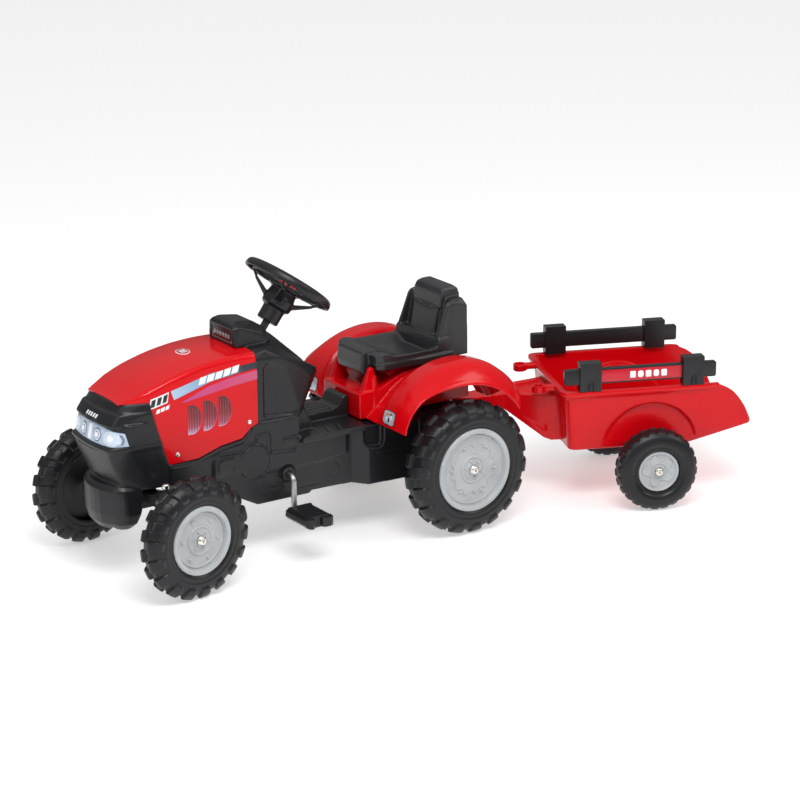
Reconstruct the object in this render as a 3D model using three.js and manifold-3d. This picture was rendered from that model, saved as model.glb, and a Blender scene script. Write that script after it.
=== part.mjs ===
// Ride-on pedal tractor with a tipping-bed trailer. Millimetres, +X forward, +Y left, +Z up.
// Everything is laid out from the ground point under the rear axle; the last lines move the whole
// group so that its own origin is the middle of the footprint.
import * as THREE from "three";
import { ConvexGeometry } from "three/addons/geometries/ConvexGeometry.js";
import { mergeVertices } from "three/addons/utils/BufferGeometryUtils.js";
import Module from "manifold-3d";

const wasm = await Module();
wasm.setup();

// ---------- driving dimensions ----------
const WALL = 3.5; // wall of the moulded shells
const GAP = 0.4; // clearance between touching pieces
const REAR_WHEEL = { radius: 125.5, width: 64, outer: 208, rim: 79, lugs: 18, hub: 13 };
const FRONT_WHEEL = { radius: 109, width: 50, outer: 208, rim: 62.5, lugs: 18, hub: 11 };
const TRAILER_WHEEL = { radius: 78.5, width: 50, outer: 188, rim: 40, lugs: 20, hub: 11 };
const KINGPIN_X = 590;
const KINGPIN_Y = 103;
const STEER_REST = 8; // the front wheels and the steering wheel stand turned this far to the left, degrees
const STEER_ARM = 45;
const COLUMN_LEAN = 37; // the steering column leans back this far from upright, degrees
const COLUMN_TOP = new THREE.Vector3(269, 0, 475.5); // middle of the steering wheel
const COLUMN_LENGTH = 447;
const STEERING_WHEEL_RADIUS = 86.5;
const CRANK = { x: 328, z: 149, throw: 63, rod: 5.5, arm: 104 };
const CHAIN_PITCH = 12.7;
const DRIVE_TEETH = 19;
const DRIVEN_TEETH = 11;
const CHAIN_Y = -42;
const BODY_HALF = 84; // half width of the black lower body
const BONNET_HALF = 83;
const HITCH = { x: -107, z: 180 };
const HITCH_TO_AXLE = 345;
const TRAILER_REST = -22; // the trailer stands swung this far round the hitch, degrees
const BED = { front: 171, top: 230, floor: 108, half: 131, floorHalf: 116 };
const TOOL_RING = { reach: 36, apart: 72, hole: 8.5, wall: 4.5 }; // rings for toy tools ahead of the bed
const RACK = { y: 126, bottom: 243, top: 273, front: 172, rear: -124, postWidth: 41 };

const RED = { color: 0xd0081c, roughness: 0.28, metalness: 0 };
const BLACK = { color: 0x232528, roughness: 0.5, metalness: 0 };
const GREY = { color: 0xa9adb0, roughness: 0.45, metalness: 0 };
const STEEL = { color: 0xb4b4b0, roughness: 0.32, metalness: 1 };
const DARK_STEEL = { color: 0x2c2e31, roughness: 0.45, metalness: 0.6 };
const LENS = { color: 0xdfe8f2, roughness: 0.2, metalness: 0 };

// ---------- solids ----------
const rad = THREE.MathUtils.degToRad;

function solid(geometry) {
  const plain = geometry.index ? geometry.toNonIndexed() : geometry.clone();
  plain.deleteAttribute("normal");
  plain.deleteAttribute("uv");
  const merged = mergeVertices(plain, 1e-4);
  return new wasm.Manifold(
    new wasm.Mesh({
      numProp: 3,
      vertProperties: new Float32Array(merged.attributes.position.array),
      triVerts: new Uint32Array(merged.index.array),
    }),
  );
}

function placed(geometry, matrix) {
  return solid(geometry.clone().applyMatrix4(matrix));
}

const union = (parts) => parts.reduce((all, next) => all.add(next));
const cutAll = (body, tools) => tools.reduce((left, tool) => left.subtract(tool), body);

function geometryOf(body) {
  const mesh = body.getMesh();
  const geometry = new THREE.BufferGeometry();
  geometry.setAttribute("position", new THREE.BufferAttribute(mesh.vertProperties, 3));
  geometry.setIndex(new THREE.BufferAttribute(mesh.triVerts, 1));
  geometry.computeVertexNormals();
  return geometry;
}

// A box between two corners.
function box(low, high) {
  const size = high.map((v, i) => v - low[i]);
  const middle = high.map((v, i) => (v + low[i]) / 2);
  return placed(new THREE.BoxGeometry(...size), new THREE.Matrix4().makeTranslation(...middle));
}

function shapeOf(outline, holes = []) {
  const shape = new THREE.Shape(outline.map(([a, b]) => new THREE.Vector2(a, b)));
  holes.forEach((hole) => shape.holes.push(new THREE.Path(hole.map(([a, b]) => new THREE.Vector2(a, b)))));
  return shape;
}

function prism(outline, depth, holes) {
  return new THREE.ExtrudeGeometry(shapeOf(outline, holes), { depth, bevelEnabled: false });
}

// A side outline (x, z) extruded across the width from y = low to y = high.
function across(outline, low, high, holes) {
  const turn = new THREE.Matrix4().makeRotationX(Math.PI / 2).setPosition(0, high, 0);
  return placed(prism(outline, high - low, holes), turn);
}

// A plan outline (x, y) extruded upwards from z = low to z = high.
function upright(outline, low, high, holes) {
  return placed(prism(outline, high - low, holes), new THREE.Matrix4().makeTranslation(0, 0, low));
}

// The low and high y of a stretch from `near` to `far` on one side of the centre plane.
const spread = (side, near, far) => [Math.min(side * near, side * far), Math.max(side * near, side * far)];

// A box between two (x, z) corners on one side of the centre plane.
function slab([x0, z0], [x1, z1], side, near, far) {
  const [low, high] = spread(side, near, far);
  return box([x0, low, z0], [x1, high, z1]);
}

function hull(points) {
  return solid(new ConvexGeometry(points.map((p) => new THREE.Vector3(...p))));
}

// Points mirrored to both sides of the centre plane.
const bothSides = (points) => points.flatMap(([x, y, z]) => [[x, y, z], [x, -y, z]]);

function circle(radius, count, cx = 0, cy = 0, start = 0) {
  return Array.from({ length: count }, (_, i) => {
    const t = start + (i / count) * Math.PI * 2;
    return [cx + radius * Math.cos(t), cy + radius * Math.sin(t)];
  });
}

// A round bar from one point to another.
function bar(from, to, radius, sides = 14) {
  const a = new THREE.Vector3(...from);
  const b = new THREE.Vector3(...to);
  const turn = new THREE.Quaternion().setFromUnitVectors(
    new THREE.Vector3(0, 1, 0),
    b.clone().sub(a).normalize(),
  );
  const matrix = new THREE.Matrix4().compose(a.clone().lerp(b, 0.5), turn, new THREE.Vector3(1, 1, 1));
  return placed(new THREE.CylinderGeometry(radius, radius, a.distanceTo(b), sides), matrix);
}

// A round rod through a list of points, with a ball at each corner.
function bentRod(points, radius, sides = 10) {
  const bars = points.slice(1).map((p, i) => bar(points[i], p, radius, sides));
  const balls = points.slice(1, -1).map((p) => placed(
    new THREE.SphereGeometry(radius, sides, 6), new THREE.Matrix4().makeTranslation(...p),
  ));
  return union([...bars, ...balls]);
}

// A closed profile of (radius, y) turned about the Y axis.
function turned(profile, segments = 20) {
  const points = [...profile, profile[0]].map(([r, y]) => new THREE.Vector2(r, y));
  const body = solid(new THREE.LatheGeometry(points, segments));
  if (body.volume() > 0) return body;
  return solid(new THREE.LatheGeometry(points.reverse(), segments));
}

// Walls between the outlines that band() makes, closed by a strip of quads at both ends.
function loft(rings) {
  const count = rings[0].length;
  const vertices = rings.flat(2);
  const faces = [];
  const quad = (a, b, c, d) => faces.push([a, b, c], [a, c, d]);
  for (let r = 0; r < rings.length - 1; r++) {
    for (let i = 0; i < count; i++) {
      const a = r * count + i;
      const b = r * count + ((i + 1) % count);
      quad(a, b, b + count, a + count);
    }
  }
  const last = (rings.length - 1) * count;
  for (let i = 0; i < count / 2 - 1; i++) {
    quad(count - 1 - i, count - 2 - i, i + 1, i);
    quad(last + i, last + i + 1, last + count - 2 - i, last + count - 1 - i);
  }
  const build = (list) => {
    const geometry = new THREE.BufferGeometry();
    geometry.setAttribute("position", new THREE.Float32BufferAttribute(vertices, 3));
    geometry.setIndex(list.flat());
    return solid(geometry);
  };
  const body = build(faces);
  return body.volume() > 0 ? body : build(faces.map(([a, b, c]) => [c, b, a]));
}

// An open line of 2-D points given a thickness to its right-hand side, as a closed outline.
function band(line, thickness) {
  const inner = line.map(([a, b], i) => {
    const before = line[Math.max(0, i - 1)];
    const after = line[Math.min(line.length - 1, i + 1)];
    const da = after[0] - before[0];
    const db = after[1] - before[1];
    const length = Math.hypot(da, db);
    return [a + (db / length) * thickness, b - (da / length) * thickness];
  });
  return [...line, ...inner.reverse()];
}

const group = new THREE.Group();

function add(name, body, look, parent = group) {
  const mesh = new THREE.Mesh(geometryOf(body), new THREE.MeshStandardMaterial(look));
  mesh.name = name;
  parent.add(mesh);
  return mesh;
}

// ---------- black body: nose, engine sides, cowl, tunnel, footboards and axle housing ----------
const COWL_FRONT = 386;
const TREAD_Z = 215;
const LOWER_BODY = [
  [-86, 112], [-60, 100], [60, 93], [157, 95], [188, 103], [277, 97], [390, 100], [421, 118], [500, 172],
  [566, 172], [566, 209], [511, 209], [464, 224], [421, 229], [402, 246], [300, 246], [300, 208],
  [-60, 208], [-86, 190],
];
const LOWER_BODY_INSIDE = [
  [-82.5, 80], [388, 80], [418, 121], [499, 176], [562, 176], [562, 240], [402, 256], [300, 236], [296, 204.5],
  [-58, 204.5], [-82.5, 188],
];
// The nose panel ends on the leaning front edge of the bonnet's sides.
const BONNET_EDGE = [[608, 331], [569, 209.5]];

function noseHull(inset) {
  const i = inset;
  return hull(bothSides([
    [566 - i * 2, BODY_HALF - 4 - i, 172 + i], [654 - i, 64 - i, 172 + i], [669 - i, 1, 203],
    [566 - i * 2, BODY_HALF + 1 - i, 251], [645 - i, BODY_HALF - i, 256], [680 - i, 66 - i, 251],
    [687 - i, 1, 251], [678 - i, 1, 290], [671 - i, 63 - i, 291], [640 - i, BODY_HALF - 1 - i, 291],
    [654 - i, 1, 328 + i], [647 - i, 60 - i, 328 + i], [612 - i, 78 - i, 328 + i], [606 - i, 40, 328 + i],
  ]));
}

function noseOutside() {
  const [[topX, topZ], [lowX, lowZ]] = BONNET_EDGE;
  const behindBonnetEdge = [[topX, topZ + 20], [topX, topZ], [lowX, lowZ], [400, lowZ], [400, topZ + 20]];
  return noseHull(0).subtract(across(behindBonnetEdge, -100, 100));
}

function bumperBlock(inset) {
  const i = inset;
  return hull(bothSides([
    [684 - i, 1, 118], [684 - i, 1, 176 - i], [676 - i, 46 - i, 176 - i], [676 - i, 50 - i, 118],
    [654 - i, 71 - i, 174 - i], [654 - i, 71 - i, 122], [668 - i, 44 - i, 97 + i], [672 - i, 1, 95 + i],
    [632, 60 - i, 97 + i], [626, 71 - i, 122], [622, 71 - i, 176 - i],
  ]));
}

function chassisBody() {
  const lower = across(LOWER_BODY, -BODY_HALF, BODY_HALF);
  const lowerInside = across(LOWER_BODY_INSIDE, -BODY_HALF + WALL, BODY_HALF - WALL);
  const cowl = hull(bothSides([
    [COWL_FRONT, 80, 246], [COWL_FRONT, 80, 372], [COWL_FRONT, 66, 388], [346, 60, 389], [330, 76, 366],
    [252, 50, 334], [240, 46, 320], [262, 62, 318], [272, 48, 258], [300, 76, 246],
  ]));
  const cowlFoot = across([[250, 206], [340, 206], [372, 250], [276, 262], [264, 236]], -56, 56);
  const cowlInside = hull(bothSides([
    [400, 76.5, 230], [400, 76.5, 370], [400, 63, 384.5], [347, 57, 385.5], [331, 72.5, 364],
    [256, 46.5, 331], [245, 43, 319], [277, 45, 258], [303, 72.5, 240],
  ]));
  const footInside = across([[258, 190], [338, 190], [372, 246], [290, 262], [270, 236]], -52.5, 52.5);
  const airBox = hull(bothSides([
    [409, 45, 391], [411, 41, 424], [402, 30, 431], [345, 30, 418], [340, 45, 391],
    [332, 30, 387],
  ]));
  const airBoxFoot = hull(bothSides([[384, 45, 374], [384, 45, 400], [322, 30, 366], [340, 30, 400]]));
  const airBoxInside = hull(bothSides([
    [404, 41, 380], [406, 37, 421], [400, 28, 427], [346, 28, 414], [342, 41, 380], [330, 27, 372],
  ]));
  const tunnel = across([[160, 200], [160, 252], [168, 254], [176, 250], [190, 234], [270, 231], [270, 200]], -29, 29);
  const tunnelInside = across(
    [[150, 190], [163.5, 248], [168, 250], [173, 247], [188, 230.5], [275, 227.5], [275, 190]], -25.5, 25.5,
  );
  const treads = [1, -1].map((side) => across(
    [[163, 203], [163, TREAD_Z], [296, TREAD_Z], [304, 203]], ...spread(side, 22, 97),
  ));
  const treadPockets = [1, -1].map((side) => across(
    [[168, 190], [168, 211], [292, 211], [296, 190]], ...spread(side, 26, 80),
  ));
  const grooves = [1, -1].flatMap((side) => [0, 1, 2, 3, 4].map((i) => {
    const x = 178 + i * 24;
    const outline = side > 0
      ? [[x, 40], [x + 3, 40], [x + 19, 90], [x + 16, 90]]
      : [[x + 16, -90], [x + 19, -90], [x + 3, -40], [x, -40]];
    return upright(outline, TREAD_Z - 1.6, TREAD_Z + 1);
  }));
  const discs = [1, -1].map((side) => bar([399, side * 80, 187], [399, side * 88.5, 187], 31, 20));
  const shoulders = [1, -1].map((side) => across(
    [[420, 170], [420, 208], [440, 212], [495, 205], [505, 196], [500, 176], [430, 150]],
    ...spread(side, 80, 87),
  ));
  const legs = [1, -1].map((side) => across(
    [[50, 95], [150, 95], [150, 190], [140, 205], [50, 205]], ...spread(side, 80, 92),
  ));
  const hitchShelf = upright([[-50, -34], [-50, 34], [-96, 20], [-118, 12], [-122, 0], [-118, -12], [-96, -20]],
    HITCH.z - 12, HITCH.z - GAP);
  const lowerWithNose = union([lower, noseOutside(), bumperBlock(0), cowlFoot, tunnel, ...treads, ...discs,
    ...shoulders, ...legs]);
  const hollow = cutAll(lowerWithNose, [
    lowerInside, noseHull(WALL), bumperBlock(WALL), footInside, tunnelInside, ...treadPockets,
    // the engine bay is open upwards, under the bonnet
    across([[404, 206], [404, 420], [606, 420], [602, 328], [560, 206]], -BODY_HALF + WALL, BODY_HALF - WALL),
    // the nose cavity joins the engine bay, the steering crank swings through the floor behind it,
    // and the bumper opens downwards
    box([540, -60, 178], [600, 60, 300]),
    box([380, -48, 80], [560, 48, 180]),
    hull(bothSides([[630, 58, 80], [664, 40, 80], [664, 40, 130], [630, 58, 130]])),
  ]);
  const cowlShell = cutAll(union([cowl, airBox, airBoxFoot]), [cowlInside, airBoxInside]);
  const body = union([hollow, cowlShell.subtract(lowerInside), hitchShelf]);
  const columnHole = bar(alongColumn(60), alongColumn(COLUMN_LENGTH + 20), 11, 16);
  const axleHole = bar([0, -200, REAR_WHEEL.radius], [0, 200, REAR_WHEEL.radius], 11, 16);
  const crankHole = bar([CRANK.x, -200, CRANK.z], [CRANK.x, 200, CRANK.z], 13, 16);
  const pinHole = bar([HITCH.x, 0, 100], [HITCH.x, 0, 220], 6, 16);
  return cutAll(body, [columnHole, axleHole, crankHole, pinHole, ...grooves]);
}

// A point on the steering axis, this far below the steering wheel's middle.
function alongColumn(distance) {
  const down = new THREE.Vector3(Math.sin(rad(COLUMN_LEAN)), 0, -Math.cos(rad(COLUMN_LEAN)));
  return COLUMN_TOP.clone().addScaledVector(down, distance).toArray();
}

// ---------- bonnet ----------
const BONNET_STATIONS = [
  { x: 648, shoulder: 336, half: 60, low: 331.5 },
  { x: 626, shoulder: 345, half: 72, low: 331.5 },
  { x: 606, shoulder: 352, half: 79, low: 331 },
  { x: 585, shoulder: 359, half: 81, low: 270 },
  { x: 565, shoulder: 366, half: 82, low: 212 },
  { x: 513, shoulder: 379, half: BONNET_HALF, low: 212 },
  { x: 464, shoulder: 385, half: BONNET_HALF, low: 227 },
  { x: 423, shoulder: 386, half: BONNET_HALF, low: 232 },
  { x: 403, shoulder: 386, half: BONNET_HALF, low: 249 },
  { x: 388, shoulder: 386, half: BONNET_HALF, low: 256 },
];

function bonnetSection({ shoulder, half, low }) {
  const tall = shoulder - low;
  const side = [
    [half, low], [half, low + tall / 2], [half - 3, shoulder - Math.min(9, tall / 4)], [half - 12, shoulder],
  ];
  const top = [[half * 0.45, shoulder + 2]];
  const left = [...side, ...top];
  const right = left.map(([y, z]) => [-y, z]).reverse();
  return [...left, [0, shoulder + 2.5], ...right];
}

function bonnet() {
  const rings = BONNET_STATIONS.map((station) =>
    band(bonnetSection(station).reverse(), 3).map(([y, z]) => [station.x, y, z]));
  return loft(rings);
}

// ---------- red seat base with both mudguards ----------
const FENDER = { inner: 98, crest: 146, outer: 190 };
const SEAT_DECK = 263;

// [angle round the rear axle, radius of the crest, radius of the outer lip]
const FENDER_STATIONS = [
  [31.5, 168, 168], [38, 178, 174], [45, 186, 178], [53, 192, 179], [62, 196, 174], [75, 198, 165],
  [90, 198, 159], [105, 196, 156], [118, 190, 153], [130, 184, 150], [141, 176, 146],
];

function fenderSection([, crest, lip]) {
  return [
    [FENDER.inner, crest - 14], [FENDER.inner + 7, crest - 6], [120, crest - 1], [FENDER.crest, crest],
    [168, crest - (crest - lip) * 0.15 - 2], [181, crest - (crest - lip) * 0.5 - 1], [FENDER.outer, lip],
  ];
}

function fender(side) {
  const rings = FENDER_STATIONS.map((station) => {
    const angle = rad(station[0]);
    return band(fenderSection(station), 3).map(([y, r]) => [
      r * Math.cos(angle), side * y, REAR_WHEEL.radius + r * Math.sin(angle),
    ]);
  });
  return loft(rings);
}

function seatBase() {
  const deck = [
    [-88, 214], [-88, 262], [-60, 290], [0, 296], [60, 288], [100, 270], [118, SEAT_DECK], [158, SEAT_DECK],
    [158, 213], [118, 213],
  ];
  const deckInside = [
    [-84, 190], [-84, 260], [-58, 286.5], [0, 292.5], [58, 284.5], [98, 266.5], [117, 259.5], [154.5, 259.5],
    [154.5, 190],
  ];
  const centre = across(deck, -60, 60).subtract(across(deckInside, -56.5, 56.5));
  const saddle = [
    [-104, 236], [-60, 274], [0, 286], [60, 276], [104, 246], [143, 213], [139, 211], [101, 241],
    [58, 271], [0, 281.5], [-58, 270], [-101, 233],
  ];
  const wings = [1, -1].map((side) =>
    across(saddle, ...spread(side, 57, 103)));
  const riserBox = across([[-50, 280], [-50, 300], [62, 300], [78, 284], [78, 258], [50, 258]], -42, 42);
  const riserInside = across(
    [[-46.5, 270], [-46.5, 296.5], [60.5, 296.5], [74.5, 282], [74.5, 250], [50, 250]], -38.5, 38.5,
  );
  const posts = [1, -1].map((side) => across(
    [[112, 258], [146, 258], [131, 306], [125, 306]], ...spread(side, 46, 57),
  ));
  const tunnelSlot = box([140, -31, 200], [170, 31, 255]);
  const body = union([centre, ...wings, fender(1), fender(-1), ...posts, riserBox]);
  const trims = [riserInside, tunnelSlot, box([-300, -92.4, 150], [140, 92.4, 208.4])];
  return cutAll(body, trims);
}

// ---------- seat ----------
function seat() {
  const pan = hull(bothSides([
    [138, 44, 309], [133, 58, 309], [120, 60, 334], [108, 66, 331], [20, 72, 322], [-40, 70, 330],
    [-60, 66, 309], [60, 68, 309], [112, 60, 309],
  ]));
  const dish = hull(bothSides([
    [122, 12, 350], [112, 22, 328], [40, 44, 312], [-34, 44, 316], [-30, 60, 350], [60, 60, 350], [112, 50, 345],
  ]));
  const skirt = across([[60, 301], [60, 312], [136, 312], [139, 303], [137, 290], [118, 290], [104, 301]], -43, 43);
  const back = hull(bothSides([
    [-28, 68, 322], [-44, 62, 386], [-46, 58, 408], [-72, 60, 409], [-79, 68, 388], [-79, 70, 301], [-30, 68, 301],
  ]));
  const head = hull(bothSides([
    [-36, 44, 380], [-38, 44, 418], [-45, 38, 430], [-66, 38, 431], [-76, 42, 422], [-78, 44, 380],
  ]));
  const backHollow = hull(bothSides([
    [-44, 62, 290], [-54, 56, 392], [-70, 56, 392], [-72, 62, 290],
  ]));
  const riserRoom = box([-90, -45, 250], [100, 45, 300.5]);
  const postRoom = [1, -1].map((side) => slab([80, 280], [170, 308.5], side, 43.5, 75));
  const panel = hull(bothSides([[-40, 40, 330], [-47, 40, 372], [-30, 40, 372], [-22, 40, 334]]));
  return cutAll(union([pan.subtract(dish), skirt, back, head]), [backHollow, riserRoom, ...postRoom, panel]);
}

// ---------- wheels ----------
// Wheel pieces are built about the Y axis with y = 0 on the inner side; the outer face is at +width.
// lowShare places the lug corner that meets the ground, so that the wheel's lowest point is at its radius.
function lugRing(size, low, high, offset, lowShare) {
  const pitch = (Math.PI * 2) / size.lugs;
  const tip = size.radius / Math.cos(pitch * lowShare);
  const outline = [];
  for (let i = 0; i < size.lugs; i++) {
    const at = (i + offset) * pitch - Math.PI / 2;
    outline.push([(size.radius - 7) * Math.cos(at - pitch * 0.37), (size.radius - 7) * Math.sin(at - pitch * 0.37)]);
    outline.push([tip * Math.cos(at - pitch * 0.29), tip * Math.sin(at - pitch * 0.29)]);
    outline.push([tip * Math.cos(at + pitch * 0.29), tip * Math.sin(at + pitch * 0.29)]);
    outline.push([(size.radius - 7) * Math.cos(at + pitch * 0.37), (size.radius - 7) * Math.sin(at + pitch * 0.37)]);
  }
  return across(outline, low, high, [circle(size.radius - 11, 18)]);
}

function tyre(size) {
  const { radius: R, width: W, rim, hub } = size;
  const middle = W / 2;
  const shell = turned([
    [R - 8, 7], [R - 8, W - 7], [R - 16, W - 2.5], [rim + 6, W], [rim + 0.5, W - 2.5], [rim + 0.5, middle - 3],
    [hub - 5, middle - 3], [hub - 5, -6], [hub, -6], [hub, middle - 7], [rim + 5, middle - 7], [rim + 5, W - 6],
    [R - 14, W - 12], [R - 14, 9], [R - 34, 5], [R - 34, 1],
  ]);
  if (size === TRAILER_WHEEL) return shell.add(lugRing(size, 9, W - 9, 0, 0.29));
  return union([shell, lugRing(size, 7, middle, 0, 0.21), lugRing(size, middle, W - 7, 0.5, 0.21)]);
}

function rimDisc(size) {
  const { width: W, rim, hub } = size;
  const face = W - 10;
  return turned([
    [hub - 5, W / 2 - 2.6], [rim - 0.2, W / 2 - 2.6], [rim - 0.2, W - 1], [rim - 8, W - 1], [rim - 10, face],
    [hub + 16, face - 1], [hub + 14, face + 4], [hub - 5, face + 4],
  ]);
}

function hubCap(size) {
  const face = size.width - 6 + GAP;
  return turned([[0, face], [9, face], [9, face + 2], [6.5, face + 5], [0, face + 6.5]], 12);
}

// A wheel's three pieces in a group whose +Y points outwards.
function wheel(name, size, parent) {
  add(name + "_tyre", tyre(size), BLACK, parent);
  add(name + "_rim", rimDisc(size), GREY, parent);
  add(name + "_cap", hubCap(size), STEEL, parent);
}

// A group at the wheel's inner face, turned so that +Y points away from the middle of the vehicle.
function wheelGroup(size, side, parent, axleY = 0) {
  const inner = size.outer - size.width - axleY;
  const holder = new THREE.Group();
  holder.position.set(0, side * inner, 0);
  if (side < 0) holder.rotation.z = Math.PI;
  parent.add(holder);
  return holder;
}

// ---------- rear axle, crank and chain ----------
const sprocketRadius = (teeth) => CHAIN_PITCH / (2 * Math.sin(Math.PI / teeth));

function sprocket(teeth, bore, x, z) {
  const radius = sprocketRadius(teeth);
  const outline = [];
  for (let i = 0; i < teeth; i++) {
    const at = (i / teeth) * Math.PI * 2;
    const step = (Math.PI * 2) / teeth;
    outline.push([x + (radius - 3.5) * Math.cos(at), z + (radius - 3.5) * Math.sin(at)]);
    outline.push([x + (radius + 2) * Math.cos(at + step * 0.38), z + (radius + 2) * Math.sin(at + step * 0.38)]);
    outline.push([x + (radius + 2) * Math.cos(at + step * 0.62), z + (radius + 2) * Math.sin(at + step * 0.62)]);
  }
  const plate = across(outline, CHAIN_Y - 1.5, CHAIN_Y + 1.5, [circle(bore, 16, x, z)]);
  const boss = across(circle(bore + 6, 20, x, z), CHAIN_Y + 1, CHAIN_Y + 9, [circle(bore, 16, x, z)]);
  return union([plate, boss]);
}

// The chain's loop as one smooth band, just outside both rings of teeth.
function chain() {
  const centre = [[CRANK.x, CRANK.z], [0, REAR_WHEEL.radius]];
  const tilt = Math.atan2(CRANK.z - REAR_WHEEL.radius, CRANK.x);
  const loop = (extra) => {
    const big = sprocketRadius(DRIVE_TEETH) + extra;
    const small = sprocketRadius(DRIVEN_TEETH) + extra;
    const lean = Math.asin((big - small) / Math.hypot(CRANK.x, CRANK.z - REAR_WHEEL.radius));
    const points = [];
    for (let i = 0; i <= 12; i++) {
      const at = tilt - Math.PI / 2 - lean + (i / 12) * (Math.PI + 2 * lean);
      points.push([centre[0][0] + big * Math.cos(at), centre[0][1] + big * Math.sin(at)]);
    }
    for (let i = 0; i <= 12; i++) {
      const at = tilt + Math.PI / 2 + lean + (i / 12) * (Math.PI - 2 * lean);
      points.push([centre[1][0] + small * Math.cos(at), centre[1][1] + small * Math.sin(at)]);
    }
    return points;
  };
  return across(loop(8), CHAIN_Y - 3, CHAIN_Y + 3, [loop(2.8)]);
}

// The pedal crank is one bent rod: straight through the body, an arm and a pedal spindle on each side.
function crankAxle() {
  const { x, z, arm, rod } = CRANK;
  const end = 197;
  return bentRod([
    [x, -end, z + CRANK.throw], [x, -arm, z + CRANK.throw], [x, -arm, z], [x, arm, z],
    [x, arm, z - CRANK.throw], [x, end, z - CRANK.throw],
  ], rod);
}

function pedal(side) {
  const z = CRANK.z - side * CRANK.throw;
  const { x } = CRANK;
  const outline = [
    [x - 34, z - 4], [x - 30, z - 11], [x + 20, z - 11], [x + 26, z - 4], [x + 24, z + 7], [x + 16, z + 11],
    [x - 26, z + 11], [x - 33, z + 6],
  ];
  const block = across(outline, ...spread(side, 113, 195));
  const hole = bar([x, side * 100, z], [x, side * 205, z], CRANK.rod + 0.8, 12);
  const endSlot = slab([x - 24, z - 20], [x - 12, z + 20], side, 178, 200);
  return cutAll(block, [hole, endSlot]);
}

function crankBush(side) {
  const { x, z } = CRANK;
  const low = BODY_HALF - WALL - 8;
  const flange = [[CRANK.rod + 0.6, low], [18, low], [18, BODY_HALF - WALL - GAP], [12.4, BODY_HALF - WALL - GAP],
    [12.4, BODY_HALF + 3], [CRANK.rod + 0.6, BODY_HALF + 3]];
  const turn = new THREE.Matrix4().makeRotationZ(side > 0 ? 0 : Math.PI).setPosition(x, 0, z);
  return placed(geometryOf(turned(flange, 20)), turn);
}

// ---------- steering ----------
// The column's own frame: Y runs up the steering axis, the origin is the steering wheel's middle.
function columnFrame() {
  const frame = new THREE.Group();
  frame.position.copy(COLUMN_TOP);
  const lean = new THREE.Matrix4().makeRotationY(-rad(COLUMN_LEAN));
  const upright = new THREE.Matrix4().makeRotationX(Math.PI / 2);
  const steer = new THREE.Matrix4().makeRotationY(rad(STEER_REST));
  frame.quaternion.setFromRotationMatrix(lean.multiply(upright).multiply(steer));
  group.add(frame);
  return frame;
}

function steeringColumn() {
  const rod = bar([0, -COLUMN_LENGTH, 0], [0, -34, 0], 7, 14);
  const crank = bar([0, -COLUMN_LENGTH + 44, 0], [-STEER_ARM, -COLUMN_LENGTH + 44, 0], 6, 12);
  const pin = bar([-STEER_ARM, -COLUMN_LENGTH + 50, 0], [-STEER_ARM, -COLUMN_LENGTH + 12, 0], 5, 12);
  return union([rod, crank, pin]);
}

function steeringWheel() {
  const rim = solid(new THREE.TorusGeometry(STEERING_WHEEL_RADIUS - 10, 10, 8, 24).rotateX(Math.PI / 2));
  const hub = turned([
    [7.4, -78], [20, -78], [20, -47], [28, -44], [28, -30], [24, -14], [33, -12], [33, -4], [24, -4], [22, -14], [7.4, -14],
  ], 16);
  const spokes = [45, 135, 225, 315].map((angle) => {
    const t = rad(angle);
    const c = Math.cos(t);
    const s = Math.sin(t);
    return bar([22 * c, -38, 22 * s], [(STEERING_WHEEL_RADIUS - 12) * c, -3, (STEERING_WHEEL_RADIUS - 12) * s], 6, 6);
  });
  const boss = turned([[0, -34], [22, -33], [22, -22], [0, -22]], 16);
  return union([rim, hub, boss, ...spokes]).subtract(bar([0, -90, 0], [0, -33.6, 0], 7.4, 14));
}

function hornButton() {
  const pad = hull([
    [16, -10, 12], [16, -10, -12], [-16, -10, 12], [-16, -10, -12],
    [14, 1, 10], [14, 1, -10], [-14, 1, 10], [-14, 1, -10],
  ]);
  return pad.add(bar([0, -18, 0], [0, -9, 0], 5, 10));
}

// ---------- front axle ----------
function frontAxle() {
  const beam = box([KINGPIN_X - 11, -KINGPIN_Y, 140], [KINGPIN_X + 11, KINGPIN_Y, 158]);
  const saddle = box([KINGPIN_X - 16, -40, 150], [KINGPIN_X + 16, 40, 171.6]);
  // a bracket under the beam carries the lower end of the steering column
  const drop = box([KINGPIN_X - 24, -12, 114], [KINGPIN_X, 12, 150]);
  const bearing = box([KINGPIN_X - 84, -13, 114], [KINGPIN_X, 13, 127]);
  const sockets = [1, -1].map((side) => bar([KINGPIN_X, side * KINGPIN_Y, 131], [KINGPIN_X, side * KINGPIN_Y, 171], 12, 20));
  const bores = [1, -1].map((side) => bar([KINGPIN_X, side * KINGPIN_Y, 100], [KINGPIN_X, side * KINGPIN_Y, 200], 5.6, 16));
  const columnBore = bar(alongColumn(COLUMN_LENGTH - 60), alongColumn(COLUMN_LENGTH + 30), 8, 16);
  return cutAll(union([beam, saddle, drop, bearing, ...sockets]), [...bores, columnBore]);
}

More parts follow.
